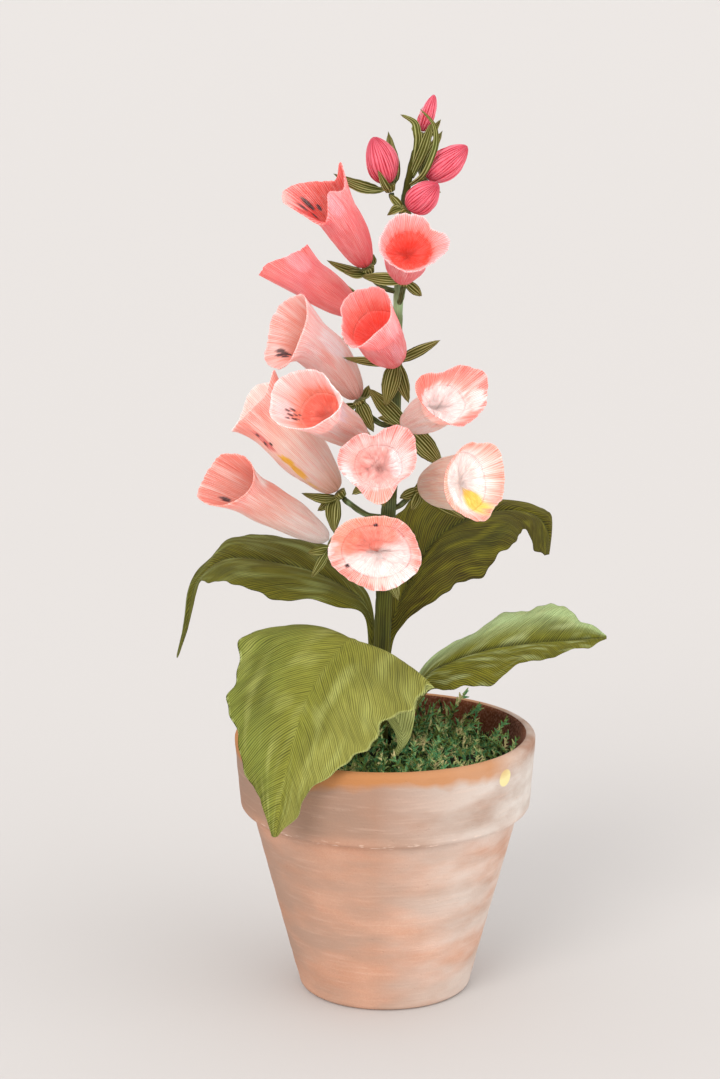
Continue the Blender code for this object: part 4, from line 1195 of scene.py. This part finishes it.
class FOXGLOVE_OT_leaves(bpy.types.Operator):
    """Make the four crepe leaves on their wired stalks"""
    bl_idname = "foxglove.leaves"
    bl_label = "Leaves"

    def execute(self, context):
        sizes = context.scene.foxglove_leaves
        paper = crepe("leaf crepe, two halves glued on wire", "outside", LEAF_LOOK)
        for seed, (node, rows) in enumerate(LEAVES.items()):
            dye = LEAF_DYES[node]
            bm = new_mesh("outside")
            add_sheet(bm, 2 * sizes.columns, sizes.rows, leaf_place(rows, dye, sizes, seed),
                      leaf_grain(rows, dye, seed), {"outside": leaf_paint(rows, dye, seed)})
            new_piece("paper_" + node, bm, (paper,), node)
        return {"FINISHED"}


class PotSettings(bpy.types.PropertyGroup):
    wall: bpy.props.FloatProperty(
        name="Wall", description="Thickness of the clay wall", default=WALL, unit="LENGTH")
    wobble: bpy.props.FloatProperty(
        name="Wobble", description="How far the pot is out of round", default=0.25 * MM, unit="LENGTH")
    turning: bpy.props.FloatProperty(
        name="Turning", description="Depth of the turning marks", default=0.05 * MM, unit="LENGTH")
    clay: bpy.props.FloatVectorProperty(
        name="Clay", description="Colour of the fired clay", subtype="COLOR", size=3, default=linear("BC937C"))
    veil: bpy.props.FloatVectorProperty(
        name="Veil", description="Colour of the weathered skin", subtype="COLOR", size=3, default=linear("9C8272"))
    bloom: bpy.props.FloatVectorProperty(
        name="Bloom", description="Colour of the salt bloom", subtype="COLOR", size=3, default=linear("CECAC4"))
    stain: bpy.props.FloatVectorProperty(
        name="Stain", description="Colour of the rim's stain", subtype="COLOR", size=3, default=linear("AC7038"))
    # The inside's colour is darker than the outside clay
    inside: bpy.props.FloatVectorProperty(
        name="Inside", description="Colour of the darkened inside", subtype="COLOR", size=3, default=linear("3C1E0C"))


def arc(centre, radius, start, end, steps):
    """Points of an arc in (radius, height), from start to end degrees."""
    points = []
    for step in range(steps + 1):
        angle = math.radians(start + (end - start) * step / steps)
        points.append((centre[0] + radius * math.cos(angle), centre[1] + radius * math.sin(angle)))
    return points


def inner_radius(height, wall):
    """Radius of the pot's straight inner wall at a height."""
    slope = (NECK_RADIUS - FOOT_RADIUS) / (POT_HEIGHT - BAND_HEIGHT)
    return FOOT_RADIUS - wall + slope * height


def pot_outline(wall):
    """The pot's cut outline in (radius, height), from the top of its rim round to there again."""
    lip = 2.2 * MM
    roll = 3.2 * MM
    foot = 2.6 * MM
    fillet = 3 * MM
    band_foot = POT_HEIGHT - BAND_HEIGHT
    inner_lip = inner_radius(POT_HEIGHT, wall) + lip
    points = arc((RIM_RADIUS - lip, POT_HEIGHT - lip), lip, 90, 0, 6)
    points += arc((BAND_FOOT_RADIUS - roll, band_foot + roll), roll, 0, -80, 6)
    points.append((NECK_RADIUS, band_foot - 0.6 * MM))
    points += arc((FOOT_RADIUS - foot, foot), foot, 0, -90, 6)
    points.append((DRAIN_RADIUS, 0.0))
    points.append((DRAIN_RADIUS, FLOOR))
    points += arc((inner_radius(FLOOR, wall) - fillet, FLOOR + fillet), fillet, -90, 0, 5)
    points += arc((inner_lip, POT_HEIGHT - lip), lip, 180, 90, 6)
    return points


PAINT_DROP = (41.4 * MM, -34.0 * MM, 87.6 * MM)  # on the outside of the rim

# Clouds of noise in the clay, and in its weathered skin: size in mm, detail, and stretch along x, y and z
CLAY_CLOUDS = {"turned": (14, 3.0, (1, 1, 14)), "patches": (22, 4.0, (1, 1, 1.6)), "grit": (0.9, 2.0, (1, 1, 1))}
SKIN_CLOUDS = {
    "veil": (30, 4.0, (0.8, 0.8, 2.2)), "salt": (24, 6.0, (0.8, 0.8, 1.9)), "chips": (4, 2.0, (1, 1, 3)),
    "tide": (12, 2.0, (1, 1, 1)),
}


def skin_layers(tree, place, colours, clouds):
    """The skin on the outside of the pot: weathering and marks, and a band darker than the body."""
    split = add_node(tree, "ShaderNodeSeparateXYZ", {"Vector": place})
    across, height = split.outputs["X"], split.outputs["Z"]
    apart = add_node(tree, "ShaderNodeVectorMath", {0: place, 1: PAINT_DROP}, operation="DISTANCE").outputs["Value"]
    uneven = add_node(tree, "ShaderNodeMath", {0: clouds["tide"], 1: 9 * MM}, operation="MULTIPLY").outputs[0]
    raised = add_node(tree, "ShaderNodeMath", {0: height, 1: uneven}, operation="ADD").outputs[0]
    band_foot = POT_HEIGHT - BAND_HEIGHT
    return (
        Layer(colours.veil, 0.75, (), clouds["veil"], ((0.38, 0), (0.6, 1))),
        # The band darker than the body below it
        Layer(linear("8A7060"), 0.65, ((height, band_foot, band_foot + 5 * MM),)),
        Layer(colours.bloom, 0.8, ((across, -4 * MM, 46 * MM),), clouds["salt"], ((0.32, 0), (0.62, 1))),
        # Turning marks rubbed pale
        Layer(linear("D8B8A6"), 0.15, (), clouds["turned"], ((0.55, 0), (0.75, 1))),
        # Chips along the band's lower edge
        Layer(linear("E8D0C0"), 0.7, ((height, band_foot - 1.2 * MM, band_foot + 0.4 * MM),
                                      (height, band_foot + 2.6 * MM, band_foot + MM)),
              clouds["chips"], ((0.56, 0), (0.66, 1))),
        # A drop of paint on the rim
        Layer(linear("D2C792"), 1.0, ((apart, 3.3 * MM, 2.9 * MM),)),
        Layer(colours.stain, 0.75, ((raised, POT_HEIGHT - 2.5 * MM, POT_HEIGHT + 0.5 * MM),
                                    (across, 50 * MM, 36 * MM))),
    )


def terracotta(name, colours, inside):
    """Terracotta: pressed and fired clay, matt, with turning marks, pits, salt bloom and a stained rim."""
    material, tree, shader = new_material(name, 0.92, 0.2)
    place = add_node(tree, "ShaderNodeTexCoord").outputs["Object"]
    clouds = {}
    for cloud, (size, detail, stretch) in (CLAY_CLOUDS if inside else {**CLAY_CLOUDS, **SKIN_CLOUDS}).items():
        spread = add_node(tree, "ShaderNodeMapping", {"Vector": place, "Scale": stretch}).outputs[0]
        clouds[cloud] = add_node(tree, "ShaderNodeTexNoise", {
            "Vector": spread, "Scale": 1 / (size * MM), "Detail": detail}).outputs["Fac"]
    grit = clouds["grit"]
    # The inside is coloured darker than the outside clay
    body = linear("603218") if inside else mix(colours.clay, linear("A47052"), 0.5)
    colour = layered(tree, rgba(colours.inside if inside else colours.clay), (
        Layer(body, 1.0, (), clouds["patches"], ((0.35, 0), (0.68, 1))),
        # Light and dark grains of sand
        Layer(linear("F0D2C0"), 0.1, (), grit, ((0.5, 0), (0.75, 1))),
        Layer(linear("A0604A"), 0.14, (), grit, ((0.45, 0), (0.45, 1))),
    ))
    if not inside:
        colour = layered(tree, colour, skin_layers(tree, place, colours, clouds))
    pits = add_node(tree, "ShaderNodeTexVoronoi", {"Vector": place, "Scale": 1 / (3.4 * MM)})
    pit = add_node(tree, "ShaderNodeValToRGB", {"Fac": pits.outputs["Distance"]}, ((0.04, grey(0)), (0.14, grey(1))))
    marks = add_node(tree, "ShaderNodeMix", {0: 0.45, 2: clouds["turned"], 3: grit}).outputs[0]
    relief = add_node(tree, "ShaderNodeMath", {0: marks, 1: pit.outputs[0]}, operation="MULTIPLY").outputs[0]
    cover(tree, shader, colour, relief, 0.3 * MM, 0.7)
    return material


class FOXGLOVE_OT_pot(bpy.types.Operator):
    """Make the weathered clay pot"""
    bl_idname = "foxglove.pot"
    bl_label = "Pot"

    def execute(self, context):
        sizes = context.scene.foxglove_pot
        bm = new_mesh()
        outline = pot_outline(sizes.wall)
        verts = [bm.verts.new((radius, 0.0, height)) for radius, height in outline]
        edges = [bm.edges.new(pair) for pair in zip(verts, verts[1:] + verts[:1])]
        for edge in list(edges):
            cuts = int(edge.calc_length() / POT_STEP_LENGTH)
            if cuts:
                bmesh.ops.subdivide_edges(bm, edges=[edge], cuts=cuts)
        bmesh.ops.spin(
            bm, geom=bm.verts[:] + bm.edges[:], cent=(0, 0, 0), axis=(0, 0, 1), angle=2 * math.pi, steps=POT_STEPS,
            use_merge=True)
        for vert in bm.verts:
            flat = Vector((vert.co.x, vert.co.y, 0))
            outward = flat.normalized()
            wobble = sizes.wobble * noise.noise(outward * 1.2 + Vector((0, 0, vert.co.z / (40 * MM))))
            turning = sizes.turning * math.sin(vert.co.z / (0.45 * MM) + 2 * noise.noise(vert.co / (20 * MM)))
            grit = 0.06 * MM * noise.noise(vert.co / (3 * MM))
            if flat.length > DRAIN_RADIUS * 1.1:
                vert.co += outward * (wobble + turning + grit)
        inside = inner_radius(POT_HEIGHT, sizes.wall)
        for face in bm.faces:
            middle = face.calc_center_median()
            radius = math.hypot(middle.x, middle.y)
            wall = inner_radius(middle.z, sizes.wall) + 1.2 * MM
            face.material_index = 1 if radius < wall and middle.z > FLOOR * 0.9 and radius < inside + MM else 0
        materials = (terracotta("terracotta, fired and weathered", sizes, False),
                     terracotta("terracotta, darkened inside", sizes, True))
        new_piece("clay_pot", bm, materials, "pot")
        return {"FINISHED"}


class MossSettings(bpy.types.PropertyGroup):
    sprigs: bpy.props.IntProperty(name="Sprigs", description="Number of moss sprigs", default=620, min=0)
    length: bpy.props.FloatProperty(
        name="Length", description="Length of a long sprig", default=19 * MM, unit="LENGTH")


def moss_height(place):
    """Height of the moss's top: heaped in the middle, lumpy, with pointed tufts."""
    middle = max(0.0, 1 - (place.length / inner_radius(MOSS_EDGE, WALL)) ** 2)
    lumps = noise.noise(place / (9 * MM)) + 0.6 * noise.noise(place / (4 * MM) + Vector((5, 2, 0)))
    tufts = max(0.0, noise.noise(place / (3.2 * MM) + Vector((0, 7, 3)))) ** 1.5
    rise = (0.25 + 0.75 * middle ** 0.5) * MOSS_BUMP
    return MOSS_EDGE + middle * MOSS_HEAP + rise * (0.55 * lumps + 1.4 * tufts)


def moss_material(name, colours):
    """Preserved sheet moss: dry feathery strands, dyed green over brown, matt."""
    material, tree, shader = new_material(name, 0.9, 0.2)
    place = add_node(tree, "ShaderNodeTexCoord").outputs["Object"]
    clumps = add_node(tree, "ShaderNodeTexNoise", {"Vector": place, "Scale": 1 / (5 * MM), "Detail": 4.0})
    stops = [(0.30 + 0.4 * index / (len(colours) - 1), rgba(linear(code))) for index, code in enumerate(colours)]
    colour = add_node(tree, "ShaderNodeValToRGB", {"Fac": clumps.outputs["Fac"]}, stops)
    fibres = add_node(tree, "ShaderNodeTexNoise", {"Vector": place, "Scale": 1 / (0.5 * MM), "Detail": 2.0})
    cover(tree, shader, colour.outputs["Color"], fibres.outputs["Fac"], 0.4 * MM)
    return material


SPRIG_STEPS = 4  # straight stretches of a sprig's strand


def sprig_mesh(draw, branches):
    """One sprig, 1 long: a curling strand with short branchlets along both its sides, all with three faces round."""
    bm = bmesh.new()
    for step in range(SPRIG_STEPS):
        low, high = step / SPRIG_STEPS, (step + 1) / SPRIG_STEPS
        bmesh.ops.create_cone(
            bm, cap_ends=True, segments=3, radius1=0.042 - 0.03 * low, radius2=0.042 - 0.03 * high,
            depth=high - low, matrix=Matrix.Translation((0, 0, 0.5 * (low + high))))
    for number in range(branches):
        height = 0.1 + 0.85 * number / branches
        length = draw.uniform(0.16, 0.32) * (1.2 - 0.7 * height)
        turn = Matrix.Rotation(math.pi * number + draw.uniform(-0.7, 0.7), 4, "Z")
        tilt = Matrix.Rotation(draw.uniform(0.6, 1.1), 4, "Y")
        bmesh.ops.create_cone(
            bm, cap_ends=True, segments=3, radius1=0.045, radius2=0.008, depth=length,
            matrix=Matrix.Translation((0, 0, height)) @ turn @ tilt @ Matrix.Translation((0, 0, 0.5 * length)))
    for vert in bm.verts:
        vert.co.y += 0.4 * vert.co.z ** 2
        vert.co.x += 0.07 * math.sin(5 * vert.co.z)
    return finished_mesh("sprig", bm)


def add_sprig(bm, template, place):
    """Add a copy of a sprig, set by a matrix."""
    sprig = template.copy()
    sprig.transform(place)
    bm.from_mesh(sprig)
    bpy.data.meshes.remove(sprig)


# Sprigs that stand up at the back right: foot and length in mm, then degrees round from the right and of tilt
TALL_SPRIGS = (
    ((21, 34, 85), 18, -60, 30), ((26, 31, 85), 14, -50, 40), ((30, 28, 85), 12, -30, 25), ((36, 12, 84), 14, -40, 35),
    ((39, 4, 84), 10, -60, 25),
)


class FOXGLOVE_OT_moss(bpy.types.Operator):
    """Make the dried moss mat and its sprigs"""
    bl_idname = "foxglove.moss"
    bl_label = "Moss"

    def execute(self, context):
        sizes = context.scene.foxglove_moss
        wall = context.scene.foxglove_pot.wall
        radius = inner_radius(MOSS_BOTTOM, wall) - MOSS_GAP

        def mat(u, v):
            flat = on_circle(u) * radius * min(1.0, v / 0.9)
            top = moss_height(flat) - 1.5 * MM + 1.2 * MM * noise.noise(flat / (1.6 * MM))
            return flat + Vector((0, 0, top if v < 0.95 else MOSS_BOTTOM))

        bm = new_mesh()
        add_sheet(bm, *MAT_STEPS, mat, tube_grain(0, 0), {})
        bmesh.ops.remove_doubles(bm, verts=bm.verts, dist=WELD)
        bmesh.ops.holes_fill(bm, edges=[edge for edge in bm.edges if edge.is_boundary], sides=0)
        # The mat under the sprigs is painted near black: painted shade in the gaps between them
        dark = moss_material("moss mat, painted shade", ("0C0E06", "1E2210", "343018"))
        new_piece("moss_mat", bm, (dark,), "moss")

        draw = random.Random(7)
        templates = [sprig_mesh(draw, branches) for branches in (10, 13, 16)]
        green = moss_material("moss sprigs, preserved and dyed", (
            "12160A", "2E3A1A", "6A7838", "428054", "94A262", "CCC08A", "7A6238"))
        bm = bmesh.new()
        room = inner_radius(MOSS_EDGE, wall) - 1.0 * MM
        for number in range(sizes.sprigs):
            distance = room * math.sqrt(draw.random())
            angle = draw.uniform(0, 2 * math.pi)
            root = Vector((distance * math.cos(angle), distance * math.sin(angle), 0))
            low = smoothstep(18 * MM, 40 * MM, root.x + 0.5 * abs(root.y))
            length = sizes.length * draw.uniform(0.35, 1.0) * (1 - 0.35 * low)
            tilt = draw.uniform(0.7, 1.5) if number % 8 else draw.uniform(0.1, 0.6)
            heading = draw.uniform(0, 2 * math.pi)
            tip = root + Vector((math.cos(heading), math.sin(heading), 0)) * length * math.sin(tilt)
            if tip.length > room:
                heading = angle + math.pi + draw.uniform(-0.9, 0.9)
                tilt = min(tilt, 1.2)
            root.z = moss_height(root) - SPRIG_ROOT
            turn = Matrix.Rotation(heading, 4, "Z") @ Matrix.Rotation(tilt, 4, "Y")
            roll = Matrix.Rotation(draw.uniform(0, 6.28), 4, "Z")
            add_sprig(bm, templates[number % len(templates)],
                      Matrix.Translation(root) @ turn @ roll @ Matrix.Scale(length, 4))
        for place, length, heading, tilt in TALL_SPRIGS:
            turn = Matrix.Rotation(math.radians(heading), 4, "Z") @ Matrix.Rotation(math.radians(tilt), 4, "Y")
            add_sprig(bm, templates[2], Matrix.Translation(Vector(place) * MM) @ turn @ Matrix.Scale(length * MM, 4))
        for vert in bm.verts:
            # The wall holds the sprigs in
            reach = math.hypot(vert.co.x, vert.co.y)
            inward = min(1.0, (inner_radius(vert.co.z, wall) - MOSS_GAP) / max(reach, MM))
            vert.co.x *= inward
            vert.co.y *= inward
        add_piece("moss_sprigs", finished_mesh("moss_sprigs", bm), (green,))
        for template in templates:
            bpy.data.meshes.remove(template)
        return {"FINISHED"}


class FOXGLOVE_OT_foam(bpy.types.Operator):
    """Give the foam plug under the moss its finish"""
    bl_idname = "foxglove.foam"
    bl_label = "Foam"

    def execute(self, context):
        # Floral foam: phenolic foam, fine open cells that crumble, deep green and matt
        material, tree, shader = new_material("floral foam, cut", 0.95, 0.1)
        place = add_node(tree, "ShaderNodeTexCoord").outputs["Object"]
        cells = add_node(tree, "ShaderNodeTexVoronoi", {"Vector": place, "Scale": 1 / (1.1 * MM)})
        stops = ((0.1, rgba(linear("1E3A22"))), (0.7, rgba(linear("3E6A3E"))))
        colour = add_node(tree, "ShaderNodeValToRGB", {"Fac": cells.outputs["Distance"]}, stops)
        cover(tree, shader, colour.outputs["Color"], cells.outputs["Distance"], 0.4 * MM)
        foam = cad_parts["foam"]
        foam.data.materials.clear()
        foam.data.materials.append(material)
        return {"FINISHED"}


class StageSettings(bpy.types.PropertyGroup):
    camera: bpy.props.FloatVectorProperty(
        name="Camera", description="Where the camera stands", subtype="TRANSLATION", size=3,
        default=(-9.1 * MM, -900 * MM, 358 * MM))
    pitch: bpy.props.FloatProperty(
        name="Pitch", description="How far down the camera looks", subtype="ANGLE", default=math.radians(12.1))
    lens: bpy.props.FloatProperty(
        name="Lens", description="Focal length for a sensor 36 mm high", subtype="DISTANCE_CAMERA", default=86.75)
    floor: bpy.props.FloatVectorProperty(
        name="Floor", description="Colour of the floor", subtype="COLOR", size=3, default=linear("BEBBB9"))
    sky: bpy.props.FloatVectorProperty(
        name="Sky", description="Colour of the soft light all round", subtype="COLOR", size=3,
        default=linear("FFFDFC"))


FLOOR_HALF = 60.0  # of the stage's floor, in metres
SKY_STRENGTH = 1.2
# Soft lamps of the stage, far off like windows: where each shines from, strength, softness in degrees, colour
LIGHTS = (
    ("key", (-0.5, -1.0, 0.75), 1.5, 30, "FFFDFA"),
    ("fill", (0.9, -0.6, 0.6), 0.8, 60, "FFFEFD"),
    ("bounce", (0.4, -1.0, -0.6), 1.35, 60, "FFF8F4"),
)


class FOXGLOVE_OT_stage(bpy.types.Operator):
    """Make the floor, the camera and the soft studio light"""
    bl_idname = "foxglove.stage"
    bl_label = "Stage"

    def execute(self, context):
        scene = context.scene
        stage = scene.foxglove_stage
        bm = bmesh.new()
        bmesh.ops.create_grid(bm, x_segments=1, y_segments=1, size=FLOOR_HALF)
        # Painted board: flat emulsion, plain and matt
        material, _, shader = new_material("painted board, matt", 0.9, 0.2)
        shader.inputs["Base Color"].default_value = rgba(stage.floor)
        floor = add_object("floor", finished_mesh("floor", bm))
        floor.data.materials.append(material)
        floor.visible_shadow = False  # lets the bounced light through from below

        world = bpy.data.worlds.new("soft light")
        world.use_nodes = True
        background = world.node_tree.nodes["Background"]
        background.inputs["Color"].default_value = rgba(stage.sky)
        background.inputs["Strength"].default_value = SKY_STRENGTH
        scene.world = world
        for name, place, strength, softness, colour in LIGHTS:
            lamp = bpy.data.lights.new(name, "SUN")
            lamp.angle = math.radians(softness)
            lamp.energy = strength
            lamp.color = linear(colour)
            holder = add_object(name, lamp)
            holder.location = place
            holder.rotation_euler = Vector(place).to_track_quat("Z", "Y").to_euler()

        camera = bpy.data.cameras.new("camera")
        camera.sensor_fit = "VERTICAL"
        camera.sensor_height = 36.0
        camera.lens = stage.lens
        camera.clip_start = 0.01
        viewer = add_object("camera", camera)
        viewer.location = stage.camera
        viewer.rotation_euler = (0.5 * math.pi - stage.pitch, 0, 0)
        scene.camera = viewer
        scene.view_settings.view_transform = "Standard"
        return {"FINISHED"}


class VIEW3D_PT_foxglove(bpy.types.Panel):
    """Sizes and colours of the potted foxglove, and a button for each group of pieces"""
    bl_label = "Potted foxglove"
    bl_space_type = "VIEW_3D"
    bl_region_type = "UI"
    bl_category = "Foxglove"

    def draw(self, context):
        for step, (_, group) in STEPS.items():
            box = self.layout.box()
            box.operator("foxglove." + step)
            if group:
                settings = getattr(context.scene, "foxglove_" + step)
                for name in settings.__annotations__:
                    box.prop(settings, name)


# Operators in the order that they run, each with its group of settings
STEPS = {
    "stage": (FOXGLOVE_OT_stage, StageSettings),
    "pot": (FOXGLOVE_OT_pot, PotSettings),
    "foam": (FOXGLOVE_OT_foam, None),
    "moss": (FOXGLOVE_OT_moss, MossSettings),
    "stem": (FOXGLOVE_OT_stem, StemSettings),
    "leaves": (FOXGLOVE_OT_leaves, LeafSettings),
    "calyxes": (FOXGLOVE_OT_calyxes, CalyxSettings),
    "bells": (FOXGLOVE_OT_bells, BellSettings),
    "buds": (FOXGLOVE_OT_buds, BudSettings),
}


def register():
    for step, (operator, group) in STEPS.items():
        if group:
            bpy.utils.register_class(group)
            setattr(bpy.types.Scene, "foxglove_" + step, bpy.props.PointerProperty(type=group))
        bpy.utils.register_class(operator)
    bpy.utils.register_class(VIEW3D_PT_foxglove)


def unregister():
    bpy.utils.unregister_class(VIEW3D_PT_foxglove)
    for step, (operator, group) in STEPS.items():
        bpy.utils.unregister_class(operator)
        if group:
            delattr(bpy.types.Scene, "foxglove_" + step)
            bpy.utils.unregister_class(group)


def main():
    register()
    for step in STEPS:
        getattr(bpy.ops.foxglove, step)()


if __name__ == "__main__":
    main()
